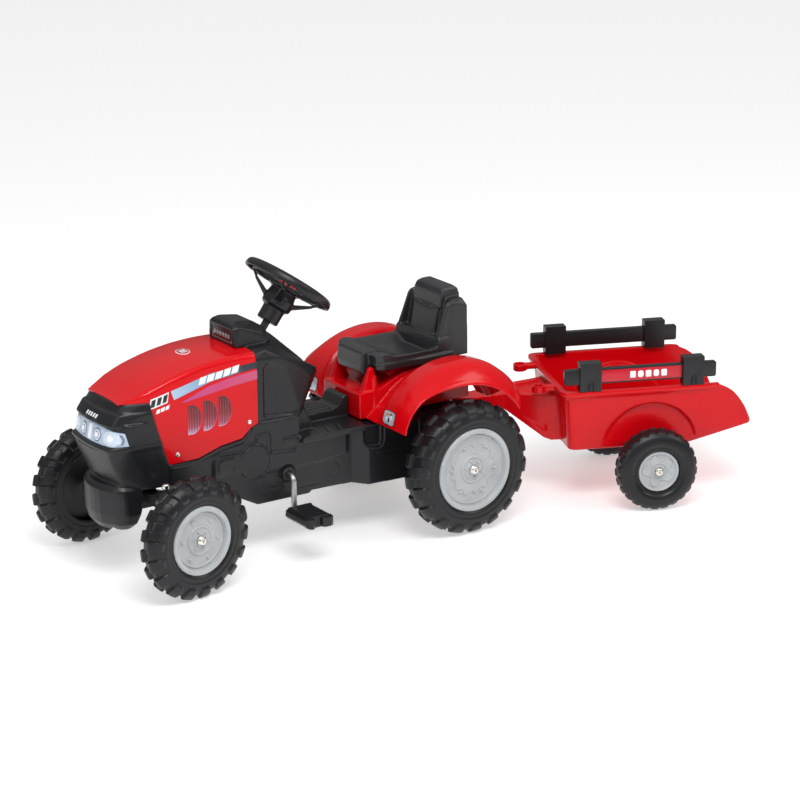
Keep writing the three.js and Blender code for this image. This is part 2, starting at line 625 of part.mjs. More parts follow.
function knuckle(side) {
  const pin = bar([0, 0, 103], [0, 0, 178], 5, 14);
  const seatRing = bar([0, 0, 122], [0, 0, 130.6], 9, 16);
  const stub = bar([0, -side * 6, FRONT_WHEEL.radius], [0, side * 98, FRONT_WHEEL.radius], 5.2, 14);
  const block = box([-9, -9, 101], [9, 9, 124]);
  const arm = hull([
    [-STEER_ARM - 8, -8, 101], [-STEER_ARM - 8, 8, 101], [-STEER_ARM - 8, -8, 105], [-STEER_ARM - 8, 8, 105],
    [0, -9, 101], [0, 9, 101], [0, -9, 105], [0, 9, 105],
  ]);
  const stud = bar([-STEER_ARM, 0, 104], [-STEER_ARM, 0, 116], 4, 12);
  return union([pin, seatRing, stub, block, arm, stud]);
}

// A V-shaped plate that joins both knuckle arms and reaches back to the column's crank pin.
function trackPlate() {
  const crankPin = new THREE.Vector3(...alongColumn(COLUMN_LENGTH - 20));
  const back = crankPin.x - STEER_ARM * Math.cos(rad(COLUMN_LEAN));
  const armX = KINGPIN_X - STEER_ARM;
  const plate = upright([
    [armX + 9, KINGPIN_Y + 9], [armX - 9, KINGPIN_Y + 9], [back - 12, 16], [back - 16, 0], [back - 12, -16],
    [armX - 9, -KINGPIN_Y - 9], [armX + 9, -KINGPIN_Y - 9], [armX + 9, -KINGPIN_Y + 4], [back + 26, -12],
    [back + 26, 12], [armX + 9, KINGPIN_Y - 4],
  ], 105.6, 109.6);
  const holes = [1, -1].map((side) => bar([armX, side * KINGPIN_Y, 90], [armX, side * KINGPIN_Y, 120], 4.8, 14));
  return { plate, holes, back };
}

// ---------- trailer ----------
function trailerBed() {
  const { front, top, floor, half, floorHalf } = BED;
  const outside = hull(bothSides([
    [158, floorHalf, floor], [-88, floorHalf, floor], [front, half, top], [-104, half, top], [-134, half, top - 5],
    [-160, half - 1, top - 20], [-182, half - 2, top - 50], [-196, half - 3, 151], [-190, half - 4, 143],
  ]));
  const inside = hull(bothSides([
    [155, floorHalf - 3, floor + 3.5], [-88, floorHalf - 3, floor + 3.5], [front - 3, half - 3, top + 1],
    [front - 3, half - 3, top + 60], [-260, half - 3, top + 60], [-260, half - 8, 171],
  ]));
  const flangeOutline = [
    [front + 7, -half - 1], [front + 7, half + 1], [front, half + 7], [-120, half + 7], [-128, half],
    [-128, half - 3], [front - 3, half - 3], [front - 3, -half + 3], [-128, -half + 3], [-128, -half],
    [-120, -half - 7], [front, -half - 7],
  ];
  const flange = upright(flangeOutline, top - 8, top);
  const tongueRear = hull(bothSides([
    [157, 60, 114], [167, 60, 205], [262, 30, 205], [262, 30, 172], [186, 54, 118],
  ]));
  const neck = HITCH_TO_AXLE - 28;
  const tongueMiddle = hull(bothSides([
    [258, 31, 205], [258, 31, 171], [neck, 22, HITCH.z], [neck, 22, HITCH.z + 18],
  ]));
  const tongueEnd = hull(bothSides([0, 1].flatMap((level) => [
    [neck, 22, HITCH.z + level * 18], [HITCH_TO_AXLE, 19, HITCH.z + level * 16],
    [HITCH_TO_AXLE + 10, 13, HITCH.z + level * 16], [HITCH_TO_AXLE + 15, 4, HITCH.z + level * 16],
  ])));
  const tongueInside = hull(bothSides([
    [front + 4, 54, 90], [front + 4, 54, 201], [268, 26, 201], [268, 26, 150], [190, 48, 90],
  ]));
  const { reach, apart, hole, wall } = TOOL_RING;
  const rings = [1, -1].map((side) => upright(
    circle(hole + wall, 18, front + reach, side * apart), top - 8, top, [circle(hole, 18, front + reach, side * apart)],
  ));
  const ringArms = [1, -1].map((side) =>
    slab([front + 2, top - 8], [front + reach - hole - 1, top], side, apart - 7, apart + 7));
  const brackets = [1, -1].map((side) => across(
    [[-24, 112], [24, 112], [12, 68], [-12, 68]], ...spread(side, 82, 100),
  ));
  const axleHole = bar([0, -200, TRAILER_WHEEL.radius], [0, 200, TRAILER_WHEEL.radius], 5.8, 14);
  const pinHole = bar([HITCH_TO_AXLE, 0, 100], [HITCH_TO_AXLE, 0, 220], 7, 16);
  const tongue = union([tongueRear, tongueMiddle, tongueEnd]).subtract(tongueInside);
  const tub = outside.add(flange).subtract(inside);
  return cutAll(union([tub, tongue, ...brackets, ...rings, ...ringArms]), [axleHole, pinHole]);
}

function rackPost(side, x) {
  const { y, postWidth: w } = RACK;
  const body = slab([x - w / 2, BED.top + GAP], [x + w / 2, 286], side, y - 10, y + 12);
  const slot = box([x - 30, side * y - 6.4, RACK.bottom - 0.8], [x + 30, side * y + 6.4, RACK.top + 0.8]);
  return body.subtract(slot);
}

function rackRail(side) {
  const { y, bottom, top, front, rear } = RACK;
  return across([
    [rear, bottom + 4], [rear + 4, bottom], [front - 4, bottom], [front, bottom + 4], [front, top - 4], [front - 4, top],
    [rear + 4, top], [rear, top - 4],
  ], side * y - 6, side * y + 6);
}

// ---------- assembly ----------
const sides = [["left", 1], ["right", -1]];

add("chassis_body", chassisBody(), BLACK);
add("bonnet", bonnet(), RED);
add("seat_base_mudguards", seatBase(), RED);
add("seat", seat(), BLACK);

const headlight = hull(bothSides([
  [690, 1, 256], [690, 1, 284], [683.5, 60, 258], [677, 60, 282], [684.5, 1, 284], [687.6, 1, 256],
  [681.6, 60, 258], [674.5, 60, 282],
]));
add("headlight_panel", headlight.subtract(noseHull(-GAP)), LENS);

for (const [name, side] of sides) {
  add("bonnet_screw_front_" + name, bar([552, side * (BONNET_HALF - 0.4), 228], [552, side * (BONNET_HALF + 1.8), 228], 4, 12), STEEL);
  add("bonnet_screw_rear_" + name, bar([405, side * (BONNET_HALF + GAP), 262], [405, side * (BONNET_HALF + 2.4), 262], 4, 12), STEEL);
  const lampOutline = [[142.2, 225], [140.9, 235.2], [137.8, 243.5], [140.8, 244.5], [144.2, 236], [145.4, 225]];
  const lamp = across(lampOutline, side * 132 - 14, side * 132 + 14);
  add("mudguard_lamp_" + name, lamp, LENS);
}

// Rear axle with the driven left wheel; the right wheel turns freely on it.
const rearAxle = bar([0, -202, REAR_WHEEL.radius], [0, 202, REAR_WHEEL.radius], 6, 16);
add("rear_axle", rearAxle, STEEL);
add("driven_sprocket", sprocket(DRIVEN_TEETH, 6 + GAP, 0, REAR_WHEEL.radius), DARK_STEEL);
add("drive_sprocket", sprocket(DRIVE_TEETH, CRANK.rod + GAP, CRANK.x, CRANK.z), DARK_STEEL);
add("drive_chain", chain(), DARK_STEEL);
add("crank_axle", crankAxle(), STEEL);

const rearHolder = new THREE.Group();
rearHolder.position.set(0, 0, REAR_WHEEL.radius);
group.add(rearHolder);

const trailer = new THREE.Group();
trailer.position.set(HITCH.x, 0, 0);
trailer.rotation.z = rad(TRAILER_REST);
group.add(trailer);
const trailerAxle = new THREE.Group();
trailerAxle.position.set(-HITCH_TO_AXLE, 0, 0);
trailer.add(trailerAxle);
add("trailer_bed", trailerBed(), RED, trailerAxle);
add("trailer_axle", bar([0, -182, TRAILER_WHEEL.radius], [0, 182, TRAILER_WHEEL.radius], 5, 14), STEEL, trailerAxle);
const trailerHub = new THREE.Group();
trailerHub.position.set(0, 0, TRAILER_WHEEL.radius);
trailerAxle.add(trailerHub);

add("front_axle_beam", frontAxle(), DARK_STEEL);
const { plate, holes, back } = trackPlate();

for (const [name, side] of sides) {
  add("pedal_" + name, pedal(side), BLACK);
  add("crank_bush_" + name, crankBush(side), GREY);
  wheel("rear_" + name, REAR_WHEEL, wheelGroup(REAR_WHEEL, side, rearHolder));
  wheel("trailer_" + name, TRAILER_WHEEL, wheelGroup(TRAILER_WHEEL, side, trailerHub));

  const steer = new THREE.Group();
  steer.position.set(KINGPIN_X, side * KINGPIN_Y, 0);
  steer.rotation.z = rad(STEER_REST);
  group.add(steer);
  add("knuckle_" + name, knuckle(side), DARK_STEEL, steer);
  add("kingpin_cap_" + name, bar([0, 0, 178 + GAP], [0, 0, 188], 7, 16), STEEL, steer);
  const hub = new THREE.Group();
  hub.position.set(0, 0, FRONT_WHEEL.radius);
  steer.add(hub);
  wheel("front_" + name, FRONT_WHEEL, wheelGroup(FRONT_WHEEL, side, hub, KINGPIN_Y));

  add("rack_rail_" + name, rackRail(side), BLACK, trailerAxle);
  add("rack_post_front_" + name, rackPost(side, 123), BLACK, trailerAxle);
  add("rack_post_rear_" + name, rackPost(side, -78), BLACK, trailerAxle);
}

// The track plate stays parallel to itself while the arms swing.
const swing = new THREE.Vector3(
  STEER_ARM * (1 - Math.cos(rad(STEER_REST))), -STEER_ARM * Math.sin(rad(STEER_REST)), 0,
);
const track = new THREE.Group();
track.position.copy(swing);
group.add(track);
const slot = upright([[back - 9, 7], [back - 9, -7], [back + 19, -7], [back + 19, 7]], 90, 120);
add("track_plate", cutAll(plate, [...holes, slot]), DARK_STEEL, track);

const column = columnFrame();
add("steering_column", steeringColumn(), DARK_STEEL, column);
add("steering_wheel", steeringWheel(), BLACK, column);
add("horn_button", hornButton(), RED, column);

const hitchPin = union([
  bar([HITCH.x, 0, HITCH.z - 30], [HITCH.x, 0, HITCH.z + 20], 5, 16),
  bar([HITCH.x, 0, HITCH.z + 19], [HITCH.x, 0, HITCH.z + 27], 11, 18),
]);
add("hitch_pin", hitchPin, STEEL);

// Origin to the middle of the footprint, with every wheel on z = 0.
const footprint = new THREE.Box3().setFromObject(group, true);
const middle = footprint.getCenter(new THREE.Vector3());
group.position.set(-middle.x, -middle.y, -footprint.min.z);
const root = new THREE.Group();
root.add(group);

export default root;
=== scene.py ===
import math

import bmesh
import bpy
import numpy as np
from mathutils import Matrix, Vector


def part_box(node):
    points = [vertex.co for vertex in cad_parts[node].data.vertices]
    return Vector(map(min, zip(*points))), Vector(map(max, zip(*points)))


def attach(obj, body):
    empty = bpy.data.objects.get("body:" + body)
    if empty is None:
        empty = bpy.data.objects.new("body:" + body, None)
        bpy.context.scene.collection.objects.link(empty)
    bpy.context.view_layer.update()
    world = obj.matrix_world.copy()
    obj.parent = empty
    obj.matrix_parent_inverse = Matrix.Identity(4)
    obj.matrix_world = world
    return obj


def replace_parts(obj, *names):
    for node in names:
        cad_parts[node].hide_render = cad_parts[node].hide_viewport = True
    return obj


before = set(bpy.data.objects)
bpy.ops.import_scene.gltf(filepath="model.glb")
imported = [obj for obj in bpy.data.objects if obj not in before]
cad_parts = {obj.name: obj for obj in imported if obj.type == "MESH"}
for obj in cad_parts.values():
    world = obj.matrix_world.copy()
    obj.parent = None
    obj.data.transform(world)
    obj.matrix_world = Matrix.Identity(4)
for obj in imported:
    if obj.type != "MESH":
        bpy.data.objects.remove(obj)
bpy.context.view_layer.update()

# All shapes are laid out in millimetres from the ground point under the rear axle, +X forward, +Y left.
MM = 0.001
SIDES = (("left", 1), ("right", -1))
REAR = {"radius": 125.5, "width": 64.0, "outer": 208.0, "rim": 79.0, "hub": 13.0, "lugs": 18}
FRONT = {"radius": 109.0, "width": 50.0, "outer": 208.0, "rim": 62.5, "hub": 11.0, "lugs": 18}
TRAIL = {"radius": 78.5, "width": 50.0, "outer": 188.0, "rim": 40.0, "hub": 11.0, "lugs": 24}
KINGPIN_X, KINGPIN_Y = 590.0, 103.0
STEER_REST = math.radians(8)
COLUMN_LEAN = math.radians(37)
COLUMN_TOP = (269.0, 0.0, 475.5)
COLUMN_LENGTH = 447.0
CRANK_X, CRANK_Z, THROW, ARM_Y = 328.0, 149.0, 63.0, 104.0
HITCH_X, HITCH_Z, HITCH_TO_AXLE = -107.0, 180.0, 345.0
TRAILER_REST = math.radians(-22)

axle_low, axle_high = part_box("rear_axle")
AXLE = (axle_low + axle_high) / 2
TRACTOR = Matrix.Translation(AXLE - Vector((0, 0, REAR["radius"] * MM))) @ Matrix.Scale(MM, 4)
COLUMN = (TRACTOR @ Matrix.Translation(COLUMN_TOP) @ Matrix.Rotation(-COLUMN_LEAN, 4, "Y")
          @ Matrix.Rotation(math.pi / 2, 4, "X") @ Matrix.Rotation(STEER_REST, 4, "Y"))
TRAILER = (TRACTOR @ Matrix.Translation((HITCH_X, 0, 0)) @ Matrix.Rotation(TRAILER_REST, 4, "Z")
           @ Matrix.Translation((-HITCH_TO_AXLE, 0, 0)))


def knuckle_matrix(side):
    return (TRACTOR @ Matrix.Translation((KINGPIN_X, side * KINGPIN_Y, 0))
            @ Matrix.Rotation(STEER_REST, 4, "Z"))


def side_turn(side):
    """Nothing on the left; half a turn about the vertical on the right."""
    return Matrix.Rotation(0 if side > 0 else math.pi, 4, "Z")


def outward(base, height, inner, side):
    """A wheel's own frame: +Y points away from the vehicle and y = 0 is its inner face."""
    return base @ Matrix.Translation((0, side * inner, height)) @ side_turn(side)


# ---------- meshes ----------
def bend(a, b, c, t):
    """A point at t on the curve that leaves a for b and arrives at c."""
    return a * (1 - t) ** 2 + b * 2 * t * (1 - t) + c * t * t


def smooth(t):
    t = np.clip(t, 0.0, 1.0)
    return t * t * (3 - 2 * t)


def curve_through(xs, ys):
    """A smooth function through points that never overshoots them."""
    xs, ys = np.array(xs, float), np.array(ys, float)
    order = np.argsort(xs)
    xs, ys = xs[order], ys[order]
    step = np.diff(xs)
    slope = np.diff(ys) / step
    tangent = np.zeros_like(ys)
    tangent[0], tangent[-1] = slope[0], slope[-1]
    for i in range(1, len(xs) - 1):
        if slope[i - 1] * slope[i] > 0:
            tangent[i] = 2 * slope[i - 1] * slope[i] / (slope[i - 1] + slope[i])

    def at(x):
        x = np.clip(x, xs[0], xs[-1])
        i = np.clip(np.searchsorted(xs, x) - 1, 0, len(step) - 1)
        t = (x - xs[i]) / step[i]
        a, b = t * t * t, t * t
        return ((2 * a - 3 * b + 1) * ys[i] + (a - 2 * b + t) * step[i] * tangent[i]
                + (3 * b - 2 * a) * ys[i + 1] + (a - b) * step[i] * tangent[i + 1])

    return at


def both(points):
    return [(x, s * y, z) for x, y, z in points for s in (1, -1)]


def hull(points):
    bm = bmesh.new()
    for p in points:
        bm.verts.new(p)
    bmesh.ops.remove_doubles(bm, verts=bm.verts, dist=0.01)
    made = bmesh.ops.convex_hull(bm, input=bm.verts)
    spare = {v for v in made["geom_interior"] + made["geom_unused"] if isinstance(v, bmesh.types.BMVert)}
    bmesh.ops.delete(bm, geom=list(spare), context="VERTS")
    return taken(bm)


def taken(bm):
    bm.normal_update()
    bmesh.ops.recalc_face_normals(bm, faces=bm.faces)
    bm.verts.index_update()
    result = [tuple(v.co) for v in bm.verts], [[v.index for v in f.verts] for f in bm.faces]
    bm.free()
    return result


def prism(outline, low, high, plane="xz"):
    """A closed outline extruded: (x, z) across the width, or (x, y) upwards."""
    lift = (lambda a, b, c: (a, c, b)) if plane == "xz" else (lambda a, b, c: (a, b, c))
    n = len(outline)
    verts = [lift(a, b, low) for a, b in outline] + [lift(a, b, high) for a, b in outline]
    faces = [list(range(n)), list(range(n, 2 * n))]
    faces += [[i, (i + 1) % n, (i + 1) % n + n, i + n] for i in range(n)]
    return fixed(verts, faces)


def fixed(verts, faces):
    bm = bmesh.new()
    made = [bm.verts.new(v) for v in verts]
    for f in faces:
        bm.faces.new([made[i] for i in f])
    return taken(bm)


def box(low, high):
    return hull([(x, y, z) for x in (low[0], high[0]) for y in (low[1], high[1]) for z in (low[2], high[2])])


def disc_points(radius, count, cx=0.0, cy=0.0, start=0.0):
    turns = start + np.arange(count) / count * 2 * math.pi
    return [(cx + radius * math.cos(t), cy + radius * math.sin(t)) for t in turns]


def rounded(points, radius, steps=5):
    """A closed outline with each corner replaced by a small arc."""
    made = []
    n = len(points)
    for i in range(n):
        p, a, b = (Vector(points[k % n]) for k in (i, i - 1, i + 1))
        back, ahead = a - p, b - p
        cut = min(radius, back.length * 0.45, ahead.length * 0.45)
        start, end = p + back.normalized() * cut, p + ahead.normalized() * cut
        for k in range(steps + 1):
            t = k / steps
            made.append(tuple(bend(start, p, end, t)))
    return made


def grid(rows, close_rows=False, close_cols=False):
    """Faces between rows of points."""
    rows = np.asarray(rows, float)
    r, c = rows.shape[:2]
    faces = []
    for i in range(r if close_rows else r - 1):
        for j in range(c if close_cols else c - 1):
            a, b = i * c + j, i * c + (j + 1) % c
            d, e = ((i + 1) % r) * c + j, ((i + 1) % r) * c + (j + 1) % c
            faces.append([a, b, e, d])
    return [tuple(p) for p in rows.reshape(-1, 3)], faces


def plate(rings):
    """Rings of points joined into a closed plate whose first and last ring are filled."""
    verts, faces = grid(rings, close_cols=True)
    n, last = len(rings[0]), len(rings) - 1
    return fixed(verts, faces + [list(range(n)), list(range(last * n, (last + 1) * n))])


def lathe(profile, segments=64, closed=True):
    """(radius, y) points turned about Y. A closed profile makes a ring."""
    turns = np.arange(segments) / segments * 2 * math.pi
    rows = [[(r * math.cos(t), y, r * math.sin(t)) for r, y in profile] for t in turns]
    verts, faces = grid(rows, close_rows=True, close_cols=closed)
    bm = bmesh.new()
    made = [bm.verts.new(v) for v in verts]
    for f in faces:
        bm.faces.new([made[i] for i in f])
    bmesh.ops.remove_doubles(bm, verts=bm.verts, dist=1e-4)
    bmesh.ops.dissolve_degenerate(bm, dist=1e-5, edges=bm.edges)
    return taken(bm)


def capped(part):
    """Closes the round holes left at the two ends of an open lathe."""
    bm = bmesh.new()
    made = [bm.verts.new(v) for v in part[0]]
    for f in part[1]:
        bm.faces.new([made[i] for i in f])
    bmesh.ops.holes_fill(bm, edges=[e for e in bm.edges if e.is_boundary], sides=0)
    return taken(bm)


def closed_lathe(profile, segments=48):
    """A turned solid whose profile starts and ends near the axis."""
    return capped(lathe(profile, segments, closed=False))


def tube(path, radius, sides=20, turn_radius=0.0):
    """A round rod along a path, with its corners rounded by turn_radius."""
    points = [Vector(p) for p in path]
    line = [points[0]]
    for i in range(1, len(points) - 1):
        p, back, ahead = points[i], points[i - 1] - points[i], points[i + 1] - points[i]
        cut = min(turn_radius, back.length * 0.49, ahead.length * 0.49)
        if cut < 1e-6:
            line.append(p)
            continue
        start, end = p + back.normalized() * cut, p + ahead.normalized() * cut
        for k in range(9):
            t = k / 8
            line.append(bend(start, p, end, t))
    line.append(points[-1])
    normal = None
    verts, faces = [], []
    for i, p in enumerate(line):
        ahead = (line[min(i + 1, len(line) - 1)] - line[max(i - 1, 0)]).normalized()
        if normal is None:
            normal = ahead.orthogonal().normalized()
        normal = (normal - ahead * normal.dot(ahead)).normalized()
        other = ahead.cross(normal)
        for k in range(sides):
            t = k / sides * 2 * math.pi
            verts.append(tuple(p + (normal * math.cos(t) + other * math.sin(t)) * radius))
    for i in range(len(line) - 1):
        for k in range(sides):
            a, b = i * sides + k, i * sides + (k + 1) % sides
            faces.append([a, b, b + sides, a + sides])
    faces.append(list(range(sides)))
    last = (len(line) - 1) * sides
    faces.append(list(range(last, last + sides)))
    return fixed(verts, faces)


def shell(points, thickness):
    """A closed thin wall: points[row][column] is the outer side, the other side lies inwards by thickness."""
    outer = np.asarray(points, float)
    along = np.gradient(outer, axis=0)
    around = np.gradient(outer, axis=1)
    normal = np.cross(along, around)
    normal /= np.linalg.norm(normal, axis=2, keepdims=True) + 1e-12
    inner = outer - normal * thickness
    rows = np.concatenate([outer, inner[:, ::-1]], axis=1)
    verts, faces = grid(rows, close_cols=True)
    n = rows.shape[1]
    for base in (0, (len(rows) - 1) * n):
        for j in range(n // 2 - 1):
            faces.append([base + j, base + j + 1, base + n - 2 - j, base + n - 1 - j])
    return fixed(verts, faces)


def joined(parts):
    verts, faces = [], []
    for v, f in parts:
        faces += [[i + len(verts) for i in face] for face in f]
        verts += v
    return verts, faces


def moved(part, matrix):
    return [tuple(matrix @ Vector(v)) for v in part[0]], part[1]


def temp_object(name, parts):
    mesh = bpy.data.meshes.new(name)
    verts, faces = joined(parts)
    mesh.from_pydata([tuple(v) for v in verts], [], faces)
    mesh.validate()
    obj = bpy.data.objects.new(name, mesh)
    bpy.context.scene.collection.objects.link(obj)
    return obj


def bake_modifiers(obj):
    graph = bpy.context.evaluated_depsgraph_get()
    made = bpy.data.meshes.new_from_object(obj.evaluated_get(graph))
    obj.modifiers.clear()
    old = obj.data
    obj.data = made
    bpy.data.meshes.remove(old)


def subtract(obj, cuts):
    """Adds a boolean that takes the cutters away; returns the cutter object, which is removed after baking."""
    cutter = temp_object(obj.name + "_cutter", cuts)
    cut = obj.modifiers.new("cut", "BOOLEAN")
    cut.operation, cut.solver, cut.object, cut.use_self = "DIFFERENCE", "EXACT", cutter, True
    return cutter


def fused(name, adds, cuts=(), voxel=2.0, softness=6, strength=0.5):
    """One moulded body: the parts joined, the cutters taken away, and every edge softened."""
    obj = temp_object(name, adds)
    cutter = subtract(obj, cuts) if cuts else None
    remesh = obj.modifiers.new("remesh", "REMESH")
    remesh.mode, remesh.voxel_size, remesh.adaptivity = "VOXEL", voxel, 0.0
    if softness:
        relax = obj.modifiers.new("relax", "SMOOTH")
        relax.factor, relax.iterations = strength, softness
    bake_modifiers(obj)
    if cutter:
        bpy.data.objects.remove(cutter)
    return obj


def bevelled(name, parts, width=1.5, segments=3, angle=30):
    obj = temp_object(name, parts)
    bevel = obj.modifiers.new("bevel", "BEVEL")
    bevel.width, bevel.segments, bevel.limit_method = width, segments, "ANGLE"
    bevel.angle_limit = math.radians(angle)
    bake_modifiers(obj)
    return obj


def finish(obj, matrix, body, material, nodes=(), sharp=35):
    """Moves the mesh into the row frame, shades it and ties it to its CAD body."""
    obj.data.transform(matrix)
    if matrix.to_3x3().determinant() < 0:
        obj.data.flip_normals()
    obj.data.polygons.foreach_set("use_smooth", [True] * len(obj.data.polygons))
    obj.data.set_sharp_from_angle(angle=math.radians(sharp))
    obj.data.materials.clear()
    obj.data.materials.append(material)
    obj.data.update()
    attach(obj, body)
    if nodes:
        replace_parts(obj, *nodes)
    return obj


def piece(name, parts, matrix, body, material, nodes=(), sharp=35):
    return finish(temp_object(name, parts), matrix, body, material, nodes, sharp)


# ---------- materials ----------
def new_material(name):
    material = bpy.data.materials.new(name)
    material.use_nodes = True
    nodes = material.node_tree.nodes
    return material, nodes, material.node_tree.links, nodes["Principled BSDF"]


def moulded(name, color, shade, rough, rough_span, grain=900.0, bump=0.02, mottle=9.0, coat=0.0, edge_highlight=0.0,
            metallic=0.0, specular=0.5):
    """Moulded plastic or metal: slow colour drift, fine grain, uneven gloss and sharp edges lightened as a
    painted highlight.
    """
    material, nodes, links, shader = new_material(name)
    place = nodes.new("ShaderNodeTexCoord")
    drift = nodes.new("ShaderNodeTexNoise")
    drift.inputs["Scale"].default_value = mottle
    drift.inputs["Detail"].default_value = 4.0
    links.new(place.outputs["Object"], drift.inputs["Vector"])
    ramp = nodes.new("ShaderNodeValToRGB")
    ramp.color_ramp.elements[0].position, ramp.color_ramp.elements[1].position = 0.3, 0.7
    ramp.color_ramp.elements[0].color = (*shade, 1)
    ramp.color_ramp.elements[1].color = (*color, 1)
    links.new(drift.outputs["Fac"], ramp.inputs["Fac"])
    tint = ramp.outputs["Color"]
    # painted highlight: sharp convex edges (high pointiness) are mixed towards a lighter copy of the colour
    if edge_highlight:
        geometry = nodes.new("ShaderNodeNewGeometry")
        edge = nodes.new("ShaderNodeMapRange")
        edge.inputs["From Min"].default_value, edge.inputs["From Max"].default_value = 0.52, 0.62
        links.new(geometry.outputs["Pointiness"], edge.inputs["Value"])
        mix = nodes.new("ShaderNodeMix")
        mix.data_type = "RGBA"
        links.new(edge.outputs["Result"], mix.inputs["Factor"])
        links.new(tint, mix.inputs[6])
        mix.inputs[7].default_value = (*[min(1.0, c * (1 + edge_highlight) + 0.01 * edge_highlight) for c in color], 1)
        tint = mix.outputs[2]
    links.new(tint, shader.inputs["Base Color"])
    fine = nodes.new("ShaderNodeTexNoise")
    fine.inputs["Scale"].default_value = grain
    fine.inputs["Detail"].default_value = 3.0
    links.new(place.outputs["Object"], fine.inputs["Vector"])
    gloss = nodes.new("ShaderNodeMapRange")
    gloss.inputs["To Min"].default_value = rough - rough_span
    gloss.inputs["To Max"].default_value = rough + rough_span
    links.new(drift.outputs["Fac"], gloss.inputs["Value"])
    links.new(gloss.outputs["Result"], shader.inputs["Roughness"])
    relief = nodes.new("ShaderNodeBump")
    relief.inputs["Strength"].default_value = bump
    relief.inputs["Distance"].default_value = 0.0005
    links.new(fine.outputs["Fac"], relief.inputs["Height"])
    links.new(relief.outputs["Normal"], shader.inputs["Normal"])
    shader.inputs["Coat Weight"].default_value = coat
    shader.inputs["Coat Roughness"].default_value = 0.08
    shader.inputs["Metallic"].default_value = metallic
    shader.inputs["Specular IOR Level"].default_value = specular
    return material


RED = moulded("red_gloss", (0.64, 0.0014, 0.0055), (0.57, 0.0011, 0.0045), 0.20, 0.04, 500, 0.03, 7, coat=0.10,
              specular=0.22)
BLACK = moulded("black_satin", (0.0105, 0.011, 0.0125), (0.008, 0.0084, 0.0098), 0.34, 0.05, 1400, 0.10, 14,
                edge_highlight=0.8, specular=0.36)
TYRE = moulded("black_wheel", (0.0100, 0.0104, 0.0118), (0.0074, 0.0078, 0.0090), 0.36, 0.06, 1100, 0.12, 22,
               edge_highlight=0.9, specular=0.34)
GREY = moulded("grey_rim", (0.43, 0.45, 0.46), (0.36, 0.38, 0.395), 0.42, 0.05, 900, 0.06, 30, edge_highlight=0.25)
NICKEL = moulded("bright_steel", (0.78, 0.76, 0.70), (0.66, 0.64, 0.58), 0.24, 0.08, 1500, 0.05, 120,
                 metallic=1.0)
CRANK = moulded("crank_steel", (0.50, 0.50, 0.48), (0.38, 0.38, 0.37), 0.36, 0.08, 1500, 0.08, 90, metallic=1.0)
DARK = moulded("dark_steel", (0.045, 0.047, 0.05), (0.03, 0.031, 0.034), 0.42, 0.08, 1200, 0.08, 60,
               metallic=0.6)
WHITE = moulded("label_white", (0.82, 0.83, 0.85), (0.76, 0.77, 0.79), 0.22, 0.03, 600, 0.01, 40)
INK = moulded("label_black", (0.02, 0.02, 0.025), (0.014, 0.014, 0.018), 0.24, 0.03, 600, 0.01, 40)


# ---------- wheels ----------
def bump(distance, half, ramp):
    """1 inside half, falling to 0 over ramp."""
    return 1 - smooth((np.abs(distance) - half) / ramp)


